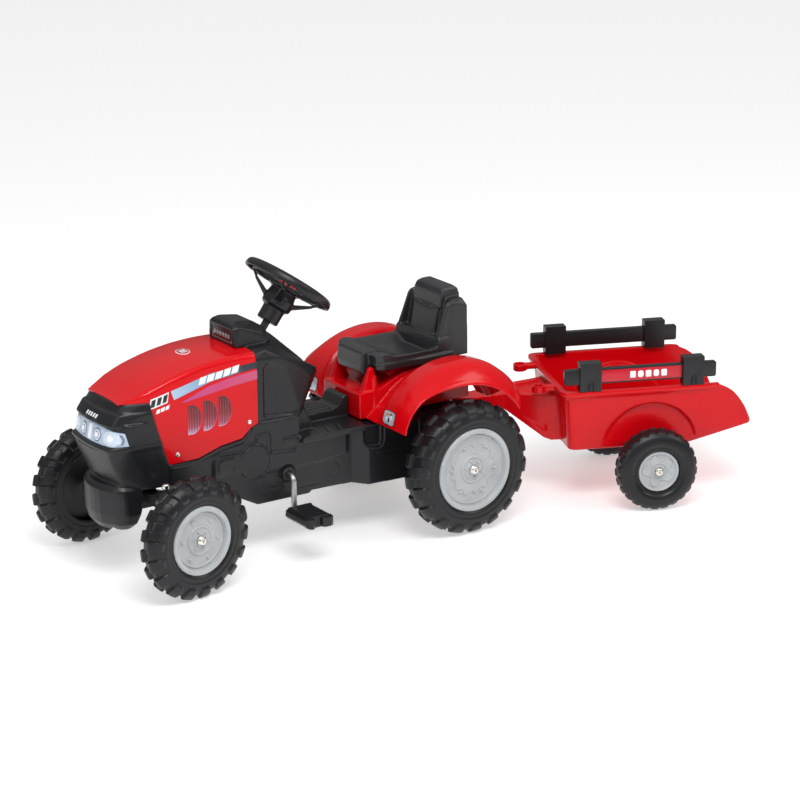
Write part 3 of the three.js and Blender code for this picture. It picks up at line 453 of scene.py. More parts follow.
def tyre_parts(size, traction):
    """A lathe-turned carcass with its lugs raised as one closed surface."""
    R, W, rim, hub = size["radius"], size["width"], size["rim"], size["hub"]
    mid = W / 2
    if traction:
        crown = [(0, R - 5.0), (9, R - 6.0), (mid - 12, R - 8.5), (mid - 6, R - 13.5), (mid - 2.5, R - 21),
                 (mid - 0.6, R - 32), (mid - 1.4, rim + 13), (mid - 1.0, rim + 6), (mid - 3.0, rim + 2.2)]
    else:
        crown = [(0, R - 2.4), (9, R - 2.6), (mid - 9, R - 4.4), (mid - 4.5, R - 8.5), (mid - 1.2, R - 16),
                 (mid - 0.2, R - 23), (mid - 2.2, rim + 9), (mid - 5.0, rim + 5.5), (mid - 5.5, rim + 2)]
    offset = np.array([p[0] for p in crown], float)
    reach = np.array([p[1] for p in crown], float)
    arc = np.concatenate([[0], np.cumsum(np.hypot(np.diff(offset), np.diff(reach)))])
    along = np.linspace(0, arc[-1], 46)
    y_at, r_at = curve_through(arc, offset), curve_through(arc, reach)
    ys, rs = y_at(along), r_at(along)
    slope_y, slope_r = np.gradient(ys), np.gradient(rs)
    length = np.hypot(slope_y, slope_r)
    out_y, out_r = -slope_r / length, slope_y / length
    samples = size["lugs"] * 26
    turns = np.arange(samples) / samples * 2 * math.pi
    pitch = 2 * math.pi / size["lugs"]
    rows = []
    for row_side in (-1, 1):
        phase = 0.25 if row_side > 0 else -0.25
        if traction:
            slant = 0.10 * smooth(along / 26) * row_side
            start, tail, end = 3.0, arc[-1] * 0.52, arc[-1] * 0.66
            height = 6.2 - 2.6 * smooth((along - 10) / (tail - 10))
            half = (0.285 - 0.06 * smooth((along - tail + 8) / 12)) * pitch * R
        else:
            slant = np.zeros_like(along)
            start, tail, end = 4.5, arc[-1] * 0.30, arc[-1] * 0.36
            height = 2.4 - 1.0 * smooth((along - 6) / 12)
            half = np.full_like(along, 0.30 * pitch * R)
        shape = smooth((along - start) / 2.5) * (1 - smooth((along - tail) / (end - tail)))
        side_rows = []
        for k, (y, r) in enumerate(zip(ys, rs)):
            angle = (turns / pitch - phase - slant[k] + 0.5) % 1 - 0.5
            lug = bump(angle * pitch * R, half[k] - 0.8, 1.9) * shape[k] * height[k]
            seam = 0.9 * np.exp(-((along[k] - 1.7) / 0.75) ** 2)
            lift = lug + seam
            side_rows.append(((r + out_r[k] * lift), (mid + row_side * (y + out_y[k] * lift))))
        rows.append(side_rows)
    inner_side, outer_side = rows
    ring = [(np.minimum(r, R), y) for r, y in inner_side[::-1]] + [(np.minimum(r, R), y) for r,
        y in outer_side[1:]]
    back = [(rim + 0.6, W - 4.0), (rim + 0.6, mid - 2.6), (hub + 14, mid - 3), (hub - 5, mid - 3),
            (hub - 5, mid - 14),
            (hub - 5, -5.4), (hub - 4.2, -6), (hub - 0.8, -6), (hub, -5.2), (hub + 0.6, mid - 12),
            (hub + 5, mid - 7.2),
            (rim - 14, mid - 7.6), (rim + 2, mid - 6.5), (rim + 4, mid - 3), (rim + 6, W - 11), (R - 26, W - 8),
            (R - 18, W - 11), (R - 14.5, W - 18), (R - 13.5, mid), (R - 15, 12), (R - 20, 8.5), (R - 30, 6.4),
            (rim + 20, 4.5), (rim + 9, 4.0), (rim + 5.5, 3.4)]
    flat = np.ones(samples)
    for r, y in back:
        ring.append((r * flat, y * flat))
    points = [[(r[j] * math.cos(t), y[j], r[j] * math.sin(t)) for r, y in ring] for j, t in enumerate(turns)]
    return fixed(*grid(points, close_rows=True, close_cols=True))


def face_disc(height, segments, radii, back_y):
    """A wheel disc: a polar grid lifted by height(radius, angle), closed by a flat back."""
    turns = np.arange(segments) / segments * 2 * math.pi
    rows = []
    for t in turns:
        line = [(r * math.cos(t), float(height(r, t)), r * math.sin(t)) for r in radii]
        outer, inner = radii[-1], radii[0]
        line += [(outer * math.cos(t), back_y, outer * math.sin(t)),
                 (inner * math.cos(t), back_y, inner * math.sin(t))]
        rows.append(line)
    return fixed(*grid(rows, close_rows=True, close_cols=True))


def bosses(r, t, count, ring, radius, lift, start=0.0):
    nearest = (t - start + math.pi / count) % (2 * math.pi / count) - math.pi / count
    distance = math.sqrt(max(0.0, r * r + ring * ring - 2 * r * ring * math.cos(nearest)))
    return lift * float(1 - smooth((distance - radius * 0.25) / (radius * 0.75)))


def rim_parts(size, style):
    W, rim, hub = size["width"], size["rim"], size["hub"]
    face = W - 10.5
    outer = rim - 0.3
    lip = 7.0 if style != "trailer" else 3.0
    turns = {"rear": 6, "front": 6, "trailer": 5}[style]
    ring_low, ring_high = {"rear": (21, 27.5), "front": (21, 28), "trailer": (10, 14.5)}[style]

    def height(r, t):
        top = W - 1.2 if style != "trailer" else W - 5.6
        floor = face if style != "trailer" else W - 7.6
        y = floor + (top - floor) * float(smooth((r - (outer - lip - 4.5)) / 3.2))
        y += 0.8 * float(bump(r - (outer - lip * 0.45), 0.6, 1.4)) if style != "trailer" else 0
        y -= 1.4 * float(smooth((r - (outer - 1.6)) / 1.6))
        if style != "trailer":
            step = outer - lip - 9.5
            y += 2.2 * float(smooth((r - step) / 1.4)) * float(1 - smooth((r - (outer - lip - 5)) / 1.0))
            y += 3.0 * float(bump(r - (ring_low + ring_high) / 2, 0.8, 1.9))
            y += 0.9 * float(1 - smooth((r - ring_low) / 2))
            y += bosses(r, t, 6, ring_low - 4.6, 3.2, 4.0, 0.25)
            y += bosses(r, t, 6, (step + ring_high) / 2 + (3.5 if style == "rear" else 1.5), 4.4, 4.6, 0.1)
            if style == "rear":
                wave = (step + ring_high) / 2 + 5.0 - 8.5 * math.cos(turns * (t - 0.1 - math.pi / turns)) ** 2
                y += 1.8 * float(bump(r - wave, 0.5, 1.1))
        else:
            wave = 24.5 + 6.5 * math.cos(turns * t)
            y -= 1.9 * float(smooth((r - wave) / 1.2)) * float(1 - smooth((r - 33.5) / 1.2))
            y += 1.4 * float(bump(r - 16.0, 0.5, 1.3))
        y += 2.2 * float(1 - smooth((r - 11.5) / 2.0))
        return y

    radii = np.unique(np.concatenate([np.linspace(hub - 4.6, outer, 74), [outer - 0.4, outer - 0.9]]))
    return face_disc(height, 252, radii, W / 2 - 2.2)


def cap_parts(size):
    face = size["width"] - 6 + 0.4
    profile = [(0, face), (9.2, face), (9.4, face + 0.8), (9.0, face + 1.9), (8.2, face + 2.6),
               (7.4, face + 4.2),
               (6.0, face + 5.6), (4.2, face + 6.2), (3.2, face + 6.1), (2.6, face + 5.0), (2.2, face + 3.6),
               (0, face + 3.4)]
    body = lathe(profile, 48)
    tabs = []
    for k in range(3):
        t = k / 3 * 2 * math.pi + 0.4
        spin = Matrix.Rotation(t, 4, "Y")
        tabs.append(moved(box((1.0, face + 3.2, -0.9), (4.4, face + 5.2, 0.9)), spin))
    return joined([body, *tabs])


def wheel(name, size, style, frames, body_tyre, body_cap):
    tyre = tyre_parts(size, style != "trailer")
    rim = rim_parts(size, style)
    cap = cap_parts(size)
    for side_name, side in SIDES:
        matrix = frames[side]
        prefix = f"{name}_{side_name}"
        piece(f"{prefix}_wheel_shell", [tyre], matrix, body_tyre[side], TYRE, [f"{prefix}_tyre"],
              sharp=50)
        piece(f"{prefix}_wheel_disc", [rim], matrix, body_tyre[side], GREY, [f"{prefix}_rim"],
              sharp=60)
        piece(f"{prefix}_push_cap", [cap], matrix, body_cap[side], NICKEL, [f"{prefix}_cap"])


wheel("rear", REAR, "rear",
      {s: outward(TRACTOR, REAR["radius"], REAR["outer"] - REAR["width"], s) for s in (1, -1)},
      {1: "rear_axle", -1: "rear_wheel_right"}, {1: "rear_axle", -1: "rear_axle"})
wheel("front", FRONT, "front",
      {s: outward(knuckle_matrix(s), FRONT["radius"], FRONT["outer"] - FRONT["width"] - KINGPIN_Y,
                  s) for s in (1, -1)},
      {1: "front_wheel_left", -1: "front_wheel_right"}, {1: "knuckle_left", -1: "knuckle_right"})
wheel("trailer", TRAIL, "trailer",
      {s: outward(TRAILER, TRAIL["radius"], TRAIL["outer"] - TRAIL["width"], s) for s in (1, -1)},
      {1: "trailer_wheel_left", -1: "trailer_wheel_right"}, {1: "trailer", -1: "trailer"})


# ---------- black moulded body ----------
def mirrored(outline, near, far):
    return [prism(outline, min(s * near, s * far), max(s * near, s * far)) for s in (1, -1)]


def column_point(distance):
    return (COLUMN_TOP[0] + distance * math.sin(COLUMN_LEAN), 0,
            COLUMN_TOP[2] - distance * math.cos(COLUMN_LEAN))


def groove(outline, width, near, far, closed=True):
    """A shallow channel of square section that follows an outline on both side walls."""
    parts = []
    n = len(outline)
    for i in range(n if closed else n - 1):
        a, b = Vector(outline[i]), Vector(outline[(i + 1) % n])
        along = (b - a).normalized() * width / 2
        across = Vector((-along.y, along.x))
        parts += mirrored([tuple(a - along + across), tuple(b + along + across), tuple(b + along - across),
                           tuple(a - along - across)], near, far)
    return parts


# the front at each height: z, front, corner x, corner y, shoulder x, half width, rear x
UPPER_BROW = [(331.4, 655, 646.5, 59, 606, 79.4, 604), (328, 657, 648.5, 60.5, 606, 80.6, 603),
              (313, 665, 656, 65.5, 604, 83.6, 600)]
LOWER_BROW = [(315, 667.5, 659, 66.5, 604, 84.6, 600), (311, 669, 660.5, 67.2, 604, 85.0, 599),
              (295, 681, 672, 69, 601, 85.0, 595), (292.6, 680, 671, 68.5, 601, 84.6, 594)]
LAMP_BAND = [(297, 673, 664.5, 67, 640, 83.6, 595), (250, 683.5, 675.5, 68, 645, 83.8, 581)]
RIDGE = [(257.5, 687, 680, 68.4, 646, 84.6, 583), (254.5, 689.5, 682, 68.8, 646, 85.0, 582),
         (249, 688, 681, 68.4, 646, 84.6, 581)]
LOWER_PANEL = [(249, 686, 679, 67.4, 645, 83.8, 581), (225, 679.5, 671.5, 66, 626, 82.8, 572),
               (200, 671.5, 661.5, 63.5, 606, 81.2, 566), (172, 662, 650, 58, 596, 78.5, 565)]


def nose_line(level, turn=6.0):
    """Points from the middle of the front round the corner to the rear, at one level."""
    z, front, corner_x, corner_y, shoulder_x, half, rear_x = level
    points = [(front - (front - corner_x) * (k / 5) ** 2, corner_y * k / 5) for k in range(5)]
    corner = Vector((corner_x, corner_y))
    before = (Vector(points[-1]) - corner).normalized() * turn
    after = (Vector((shoulder_x, half)) - corner).normalized() * turn
    for k in range(6):
        t = k / 5
        points.append(tuple(bend(corner + before, corner, corner + after, t)))
    shoulder = Vector((shoulder_x, half))
    for k in range(5):
        t = k / 4
        start = shoulder - (shoulder - corner).normalized() * 9
        points.append(tuple(bend(start, shoulder, Vector((shoulder_x - 9, half)), t)))
    points.append((rear_x, half))
    return [(max(x, rear_x), y, z) for x, y in points]


def nose_body(levels, turn=6.0):
    return hull(both([point for level in levels for point in nose_line(level, turn)]))


def nose_point(u, z, lift, levels):
    """A point on the nose: u millimetres round from its middle line, at a height, lifted off the surface."""
    levels = sorted(levels)
    keys = [level[0] for level in levels]
    level = [z] + [float(np.interp(z, keys, [one[k] for one in levels])) for k in range(1, 7)]
    line = np.array([(x, y) for x, y, _ in nose_line(level)])
    arc = np.concatenate([[0], np.cumsum(np.hypot(*np.diff(line, axis=0).T))])
    at = min(abs(u), arc[-1] - 0.01)
    (x0, y0), (x, y), (x1, y1) = [(float(np.interp(d, arc, line[:, 0])), float(np.interp(d, arc, line[:, 1])))
                                  for d in (max(at - 2.5, 0), at, at + 2.5)]
    along = Vector((x1 - x0, y1 - y0))
    along = along.normalized() if along.length else Vector((0, 1))
    return (x + along.y * lift, math.copysign(y - along.x * lift, u), z)


def nose_seam(z, levels, width, reach, lift=0.0):
    path = [nose_point(u, z, lift, levels) for u in np.linspace(-reach, reach, 61) if abs(u) > 0.5]
    return tube(path, width, 8)


def block_ring(front, corner_x, corner_y, side_y, z, rear_x, turn):
    """Points round the bumper block at one height: a slightly bowed face, a round corner and the side."""
    points = []
    a, b, c = (corner_x, corner_y - turn * 0.6), (corner_x - turn * 0.12,
        side_y - turn * 0.22), (corner_x - turn * 1.1, side_y)
    for t in np.linspace(0, 1, 7):
        points.append((bend(a[0], b[0], c[0], t), bend(a[1], b[1], c[1], t), z))
    for y in (0.5, corner_y * 0.3, corner_y * 0.6):
        points.append((front - (front - corner_x) * (y / corner_y) ** 2, y, z))
    return both(points + [(rear_x, side_y, z)])


# the bumper block at each height: front, corner x, corner y, side y, z, rear x, corner turn
BUMPER = [(671, 665, 36, 52, 184, 622, 16), (679, 671, 42, 60, 182, 618, 20),
          (684.5, 675, 47, 68, 174, 616, 24),
          (685, 675, 48, 70.5, 160, 616, 26), (684, 674, 48, 70.5, 128, 620, 26),
          (680, 670, 44, 65, 110, 626, 24), (671, 662, 36, 54, 98, 636, 20), (662, 655, 30, 46, 95.5, 644, 16)]


def body_parts():
    lower = [(-86, 112), (-60, 100), (60, 93), (140, 97), (188, 104), (276, 106), (281, 101), (390, 101),
             (426, 120),
             (448, 145), (500, 172), (566, 172), (566, 211.5), (511, 211.5), (464, 226), (421, 231.5),
             (402, 250), (388, 254), (300, 250), (300, 207), (-60, 207), (-86, 190)]
    adds = [prism(lower, -82, 82)]
    adds.append(hull(both([(188, 82, 103), (158, 92, 96), (46, 92, 93), (188, 82, 202), (158, 92, 202),
                           (46, 92, 204), (40, 78, 93), (40, 78, 204)])))
    adds += mirrored([(402, 250), (421, 231.5), (464, 226), (511, 211.5), (568, 211.5), (568, 206),
                      (511, 205.5), (462, 219.5), (419, 225), (400, 244)], 78, 85.5)
    adds += mirrored([(370, 196), (312, 190), (307, 206), (200, 206), (200, 166), (257, 160), (370, 160)], 78,
                     84.5)
    adds += mirrored(disc_points(31, 36, 399, 186), 78, 89)
    adds += mirrored([(364, 190), (364, 229), (368, 232), (392, 230), (392, 190)], 78, 86.5)
    adds += mirrored(rounded([(482, 171), (481, 201), (472, 208), (428, 207), (424, 170)], 4), 78, 88)
    adds += mirrored(rounded([(474, 179), (474, 196), (466, 202), (441, 202), (441, 179)], 8), 85, 89.8)
    # tunnel with its ramp, and the footboards
    adds.append(prism([(160, 200), (160, 252), (167, 255), (175, 251), (186, 236), (196, 232.5), (272, 231),
                       (272, 200)], -29, 29))
    tread = [(186, 230), (200, 235), (270, 234), (274, 229)]
    adds += [prism(tread, y - 2.5, y + 2.5) for y in (-21, -7, 7, 21)]
    adds += mirrored(rounded([(162, 204), (162, 215), (297, 215), (303, 209), (303, 204)], 2.5), 22, 97)
    adds += mirrored(rounded([(262, 204), (262, 215), (334, 215), (334, 204)], 2.5), 22, 84)
    # cowl and dashboard
    adds.append(hull(both([(388, 80, 246), (388, 80, 371), (388, 75, 382), (388, 64, 388), (366, 72, 386),
                           (346, 60, 389), (330, 75, 366), (300, 68, 351), (254, 52, 334), (243, 48, 327),
                           (240, 47, 319), (262, 62, 318), (272, 50, 258), (300, 77, 246), (276, 66, 296)])))
    adds.append(prism([(250, 206), (340, 206), (372, 250), (276, 262), (262, 234)], -58, 58))
    adds.append(hull(both([(410, 46, 388), (412, 41, 422), (408, 34, 429), (398, 28, 433), (362, 28, 428),
                           (340, 34, 414), (338, 46, 392), (330, 32, 384), (352, 44, 408), (398, 44, 424)])))
    adds.append(hull(both([(392, 46, 376), (392, 46, 402), (312, 30, 362), (322, 26, 396), (260, 30, 340),
                           (346, 30, 414)])))
    # nose: two brow bands, the lamp band, the ridge and the lower panel
    adds += [nose_body(UPPER_BROW, 9), nose_body(LOWER_BROW, 7), nose_body(LAMP_BAND), nose_body(RIDGE, 5),
             nose_body(LOWER_PANEL)]
    adds.append(prism([(545, 200), (600, 200), (600, 329), (588, 327), (545, 330)], -78, 78))
    adds.append(hull([point for level in BUMPER for point in block_ring(*level)]))
    adds.append(prism([(-50, 168), (-50, 179.6), (-122, 179.6), (-122, 168)], -14, 14))
    adds.append(prism([(-50, -34), (-50, 34), (-96, 20), (-118, 12), (-122, 0), (-118, -12), (-96, -20)], 168,
                      179.6, "xy"))
    return adds


def body_cuts():
    cuts = []
    for s in (1, -1):
        for i in range(5):
            x = 176 + i * 24
            line = [(x, 38), (x + 3.6, 38), (x + 20, 91), (x + 16.4, 91)]
            cuts.append(prism([(a, s * b) for a, b in line], 212.4, 217, "xy"))
    for x in (369, 377, 385):
        cuts += mirrored([(x, 196), (x, 228), (x + 3.6, 228), (x + 3.6, 196)], 83, 92)
    cuts += groove(disc_points(25, 30, 399, 186), 2.6, 86.9, 95)
    cuts += groove([(311, 151), (261, 151), (261, 118), (311, 118)], 2.6, 80.2, 90)
    cuts += groove([(386, 150), (338, 148), (342, 128), (376, 126)], 2.6, 80.2, 90)
    cuts += groove(disc_points(14, 22, 228, 139), 2.4, 80.2, 90)
    cuts += groove([(190, 158), (50, 146)], 2.8, 90, 100, closed=False)
    cuts += groove(disc_points(3.4, 10, 347, 134), 1.8, 80.2, 90)
    cuts += mirrored(rounded([(166, 220), (166, 176), (155, 167), (131, 164), (125, 172), (125, 220)], 5), 82,
                     110)
    # leaning groove and lower seam on the sides of the nose
    cuts += groove([(599, 238), (588, 214), (586, 192)], 2.4, 78.5, 90, closed=False)
    cuts += [nose_seam(314.2, LOWER_BROW, 1.5, 140, 0.8), nose_seam(293.4, LOWER_BROW, 1.5, 140, 0.9),
             nose_seam(248.4, LOWER_PANEL, 1.4, 140, 0.6)]
    cuts += [tube([(x, s * y, z) for x, y, z in ((628, 85.6, 292), (633, 86.4, 259))], 1.7, 10) for s in (1,
        -1)]
    # the side panel of the cowl
    cuts += mirrored([(372, 262), (372, 352), (364, 362), (330, 349), (272, 321), (288, 268), (310, 256)],
                     74.6, 100)
    cuts += [tube([(376, s * 46, 404), (374, s * 80, 400)], 4.2, 16) for s in (1, -1)]
    # holes for the moving parts, and the hollow under the body
    cuts.append(tube([column_point(84), column_point(COLUMN_LENGTH + 20)], 11, 24))
    cuts.append(tube([(0, -200, REAR["radius"]), (0, 200, REAR["radius"])], 11, 24))
    cuts.append(tube([(CRANK_X, -200, CRANK_Z), (CRANK_X, 200, CRANK_Z)], 12.2, 28))
    cuts += [tube([(CRANK_X, s * 80.6, CRANK_Z), (CRANK_X, s * 200, CRANK_Z)], 17, 28) for s in (1, -1)]
    cuts.append(tube([(HITCH_X, 0, 100), (HITCH_X, 0, 220)], 6, 20))
    cuts.append(prism([(-77, 60), (384, 60), (412, 124), (440, 150), (440, 198), (-60, 198), (-77, 184)], -73,
                      73))
    cuts.append(box((400, -50, 60), (562, 50, 184)))
    cuts.append(hull(both([(632, 56, 60), (662, 38, 60), (662, 38, 150), (632, 56, 150)])))
    cuts.append(hull(both([(408.6, 38, 393), (430, 38, 393), (410.4, 34, 418), (430, 34, 418)])))
    return cuts


body = fused("body_shell", body_parts(), body_cuts(), voxel=1.9, softness=5)
finish(body, TRACTOR, "chassis", BLACK, ["chassis_body"], sharp=80)


# ---------- bonnet ----------
BONNET_X = [388, 403, 423, 464, 513, 565, 585, 606, 626, 640, 650.5]
half_at = curve_through(BONNET_X, [83, 83, 83, 83, 83, 82, 81, 78.6, 71.5, 65.5, 60.0])
shoulder_at = curve_through(BONNET_X, [385.5, 386, 386.2, 384.2, 377.5, 365, 358.5, 350.5, 341.5, 335.6, 331.4])
crown_at = curve_through(BONNET_X, [3.5, 3.6, 3.8, 4.4, 5.0, 5.0, 4.6, 3.8, 2.6, 1.6, 1.1])


def bonnet_low(x):
    return float(np.interp(x, [388, 402, 421, 464, 511, 569, 608, 652],
                           [256, 250.5, 233.5, 228, 213.2, 212, 331.3, 330.4]))


def bonnet_side(x, z):
    """Half width of the bonnet's side at a height."""
    shoulder = float(shoulder_at(x))
    return float(half_at(x)) + 0.35 - 2.6 * float(smooth((z - shoulder + 42) / 42)) - 0.0002 * (z - 270) ** 2


def bonnet_section(x):
    low, shoulder, crown = bonnet_low(x), float(shoulder_at(x)), float(crown_at(x))
    turn = min(10.0, max(1.2, (shoulder - low) * 0.45))
    points = []
    for t in np.linspace(0, 1, 16):
        z = low + (shoulder - turn - low) * t
        points.append((bonnet_side(x, z), z))
    y0, z0 = points[-1]
    for t in np.linspace(0, math.pi / 2, 9)[1:]:
        points.append((y0 - turn * 1.15 * (1 - math.cos(t)), z0 + turn * math.sin(t)))
    y1, z1 = points[-1]
    for t in np.linspace(0, 1, 18)[1:]:
        points.append((y1 * (1 - t), z1 + crown * (1 - (1 - t) ** 2)))
    return points + [(-y, z) for y, z in points[-2::-1]]


stations = np.unique(np.concatenate([np.linspace(388, 652, 100), [569, 608, 402, 421, 464, 511]]))
piece("bonnet_shell", [shell([[(x, y, z) for y, z in bonnet_section(x)] for x in stations], -3.0)], TRACTOR,
               "chassis", RED, ["bonnet"], sharp=42)


# ---------- printed labels ----------
def patch(corners_low, corners_high, surface, columns=40, rows=6, lift=0.45):
    """A thin sticker between a lower and an upper line of (x, z), lying on a surface (x, z) -> half width."""
    def along(line, t):
        xs = np.linspace(0, 1, len(line))
        return (np.interp(t, xs, [p[0] for p in line]), np.interp(t, xs, [p[1] for p in line]))

    result = []
    for s in (1, -1):
        top = []
        for u in np.linspace(0, 1, columns):
            (x0, z0), (x1, z1) = along(corners_low, u), along(corners_high, u)
            top.append([(x0 + (x1 - x0) * v, z0 + (z1 - z0) * v) for v in np.linspace(0, 1, rows)])
        outer = [[(x, s * (surface(x, z) + lift), z) for x, z in line] for line in top]
        inner = [[(x, s * (surface(x, z) - 0.6), z) for x, z in line][::-1] for line in top]
        rows_all = [a + b for a, b in zip(outer, inner)]
        verts, faces = grid(rows_all, close_cols=True)
        n = 2 * rows
        for base in (0, (columns - 1) * n):
            faces += [[base + j, base + j + 1, base + n - 2 - j, base + n - 1 - j] for j in range(rows - 1)]
        result.append(fixed(verts, faces))
    return result


def gradient_material(name, stops, low, high, axis="X", rough=0.22):
    """A printed label whose colour runs along one row axis from low to high, in metres."""
    material, nodes, links, shader = new_material(name)
    place = nodes.new("ShaderNodeTexCoord")
    split = nodes.new("ShaderNodeSeparateXYZ")
    links.new(place.outputs["Object"], split.inputs["Vector"])
    span = nodes.new("ShaderNodeMapRange")
    span.inputs["From Min"].default_value, span.inputs["From Max"].default_value = low, high
    links.new(split.outputs[axis], span.inputs["Value"])
    ramp = nodes.new("ShaderNodeValToRGB")
    elements = ramp.color_ramp.elements
    while len(elements) < len(stops):
        elements.new(0.5)
    for element, (position, color) in zip(elements, stops):
        element.position, element.color = position, (*color, 1)
    links.new(span.outputs["Result"], ramp.inputs["Fac"])
    links.new(ramp.outputs["Color"], shader.inputs["Base Color"])
    shader.inputs["Roughness"].default_value = rough
    return material


def row_x(x):
    return (TRACTOR @ Vector((x, 0, 0))).x


def row_z(z):
    return (TRACTOR @ Vector((0, 0, z))).z


STRIPE = gradient_material("label_stripe", [(0.0, (0.02, 0.022, 0.035)), (0.18, (0.03, 0.032, 0.05)),
                                            (0.22, (0.10, 0.12, 0.18)), (0.6, (0.20, 0.32, 0.50)),
                                            (1.0, (0.40, 0.54, 0.70))], row_x(387), row_x(562))
SWEEP = gradient_material("label_sweep", [(0.0, (0.50, 0.07, 0.16)), (0.5, (0.54, 0.035, 0.14)),
                                          (0.85, (0.48, 0.05, 0.20)),
                                          (1.0, (0.42, 0.07, 0.30))], row_x(387), row_x(540))
VENT = gradient_material("label_vent", [(0.0, (0.42, 0.24, 0.40)), (0.14, (0.26, 0.04, 0.07)),
                                        (0.5, (0.14, 0.008, 0.014)),
                                        (1.0, (0.035, 0.004, 0.006))], row_z(262), row_z(316), "Z")
VENT_EDGE = gradient_material("label_vent_edge",
                              [(0.0, (0.62, 0.52, 0.78)), (0.2, (0.46, 0.08, 0.14)), (0.5, (0.34, 0.02, 0.04)),
                                                  (1.0, (0.30, 0.01, 0.02))], row_z(262), row_z(316), "Z")


def label(name, parts, material):
    return piece(name, parts, TRACTOR, "chassis", material, sharp=60)


label("label_stripe", patch([(556, 329), (480, 350), (387, 358)], [(561, 345), (480, 364), (387, 369)],
                            bonnet_side), STRIPE)
label("label_sweep", patch([(541, 321), (490, 327), (440, 333.5), (387, 338)],
                           [(540, 322), (490, 341), (440, 350), (387, 354.5)], bonnet_side), SWEEP)


def slanted_blocks(x, z, count, width, gap, height, climb, lean=5.0, lift=0.7):
    """A row of plain leaning blocks that starts at the front and runs back."""
    parts = []
    for k in range(count):
        x0 = x - k * (width + gap)
        z0 = z + k * (width + gap) * climb
        low = [(x0, z0), (x0 - width, z0 + width * climb)]
        high = [(x0 - lean, z0 + height), (x0 - lean - width, z0 + height + width * climb)]
        parts += patch(low, high, bonnet_side, columns=3, rows=4, lift=lift)
    return parts


label("label_blocks_white", slanted_blocks(507, 347, 5, 13.5, 3.2, 12.5, 0.13) + slanted_blocks(592, 309, 3, 7,
    2.0, 7, 0.24, 2), WHITE)
label("label_blocks_back", slanted_blocks(604, 318, 3, 12.0, -0.5, 18, 0.24, 4, 0.55), WHITE)
label("label_blocks_dark", slanted_blocks(602, 321, 3, 8.0, 3.5, 13, 0.24, 4, 0.8), INK)


def vent_shape(x, low, high, width, depth=0.0):
    """A D: straight towards the front, round towards the rear."""
    t = np.linspace(-math.pi / 2, math.pi / 2, 15)
    middle, tall = (low + high) / 2, (high - low) / 2 - depth
    curve = [(x - depth - (width - 2 * depth) * (0.28 + 0.72 * math.cos(a)),
              middle + tall * math.sin(a)) for a in t]
    front = [(x - depth, middle + tall * math.sin(a)) for a in t]
    return front, curve


vent_dark, vent_light, vent_bars = [], [], []
for x, low_z, high_z in ((530, 260, 314), (499, 262, 317), (468.5, 265, 320)):
    for depth, parts, lift in ((0.0, vent_light, 0.4), (1.6, vent_dark, 0.6)):
        front, curve = vent_shape(x, low_z, high_z, 28, depth)
        parts += patch(front, curve, bonnet_side, columns=24, rows=8, lift=lift)
    for k in range(4):
        x0 = x - 3.4 - k * 5.2
        reach = 0.5 * (high_z - low_z) * math.sqrt(max(0.05, 1 - ((x0 - x) / 33) ** 2)) - 3
        mid_z = (low_z + high_z) / 2
        vent_bars += patch([(x0, mid_z - reach), (x0 - 1.7, mid_z - reach)],
                           [(x0, mid_z + reach), (x0 - 1.7, mid_z + reach)],
                           bonnet_side, columns=3, rows=10, lift=0.8)
label("label_vents_rim", vent_light, VENT_EDGE)
label("label_vents", vent_dark, VENT)
label("label_vent_bars", vent_bars, VENT_EDGE)


# ---------- seat base and mudguards ----------
def carved(adds, cuts):
    """The parts with the cutters taken away, as another part."""
    obj = temp_object("carved", adds)
    cutter = subtract(obj, cuts)
    bake_modifiers(obj)
    made = [tuple(v.co) for v in obj.data.vertices], [list(p.vertices) for p in obj.data.polygons]
    bpy.data.objects.remove(obj)
    bpy.data.objects.remove(cutter)
    return made


GUARD_ANGLE = [31.5, 38, 45, 53, 62, 75, 90, 105, 118, 130, 141]
crest_at = curve_through(GUARD_ANGLE, [168, 178, 186, 192, 196, 198, 198, 196, 190, 184, 176])
lip_at = curve_through(GUARD_ANGLE, [168, 174, 178, 179, 174, 165, 159, 156, 153, 150, 146])
saddle_at = curve_through([31.5, 49, 68, 90, 112, 133, 141], [167.6, 160, 162, 160.5, 160, 152, 148])


def guard_radius(angle, y):
    crest, lip, saddle = float(crest_at(angle)), float(lip_at(angle)), float(saddle_at(angle))
    rise = float(smooth((y - 84) / 34))
    inner = saddle + (crest - 1 - saddle) * rise + float(smooth((y - 118) / 26))
    fall = max(0.0, (y - 146) / 44)
    bead = 0.9 * float(smooth((y - 184.5) / 2) - smooth((y - 188.5) / 2))
    return inner - (crest - lip) * fall ** 2.1 + bead


def guard(side):
    angles = np.linspace(31.5, 141, 96)
    across = np.linspace(50, 190, 76)
    rows = []
    for angle in angles:
        t = math.radians(angle)
        line = [(guard_radius(angle, y), y) for y in across]
        rows.append([(r * math.cos(t), side * y, REAR["radius"] + r * math.sin(t)) for r, y in line])
    return shell(rows, -4.2 * side)


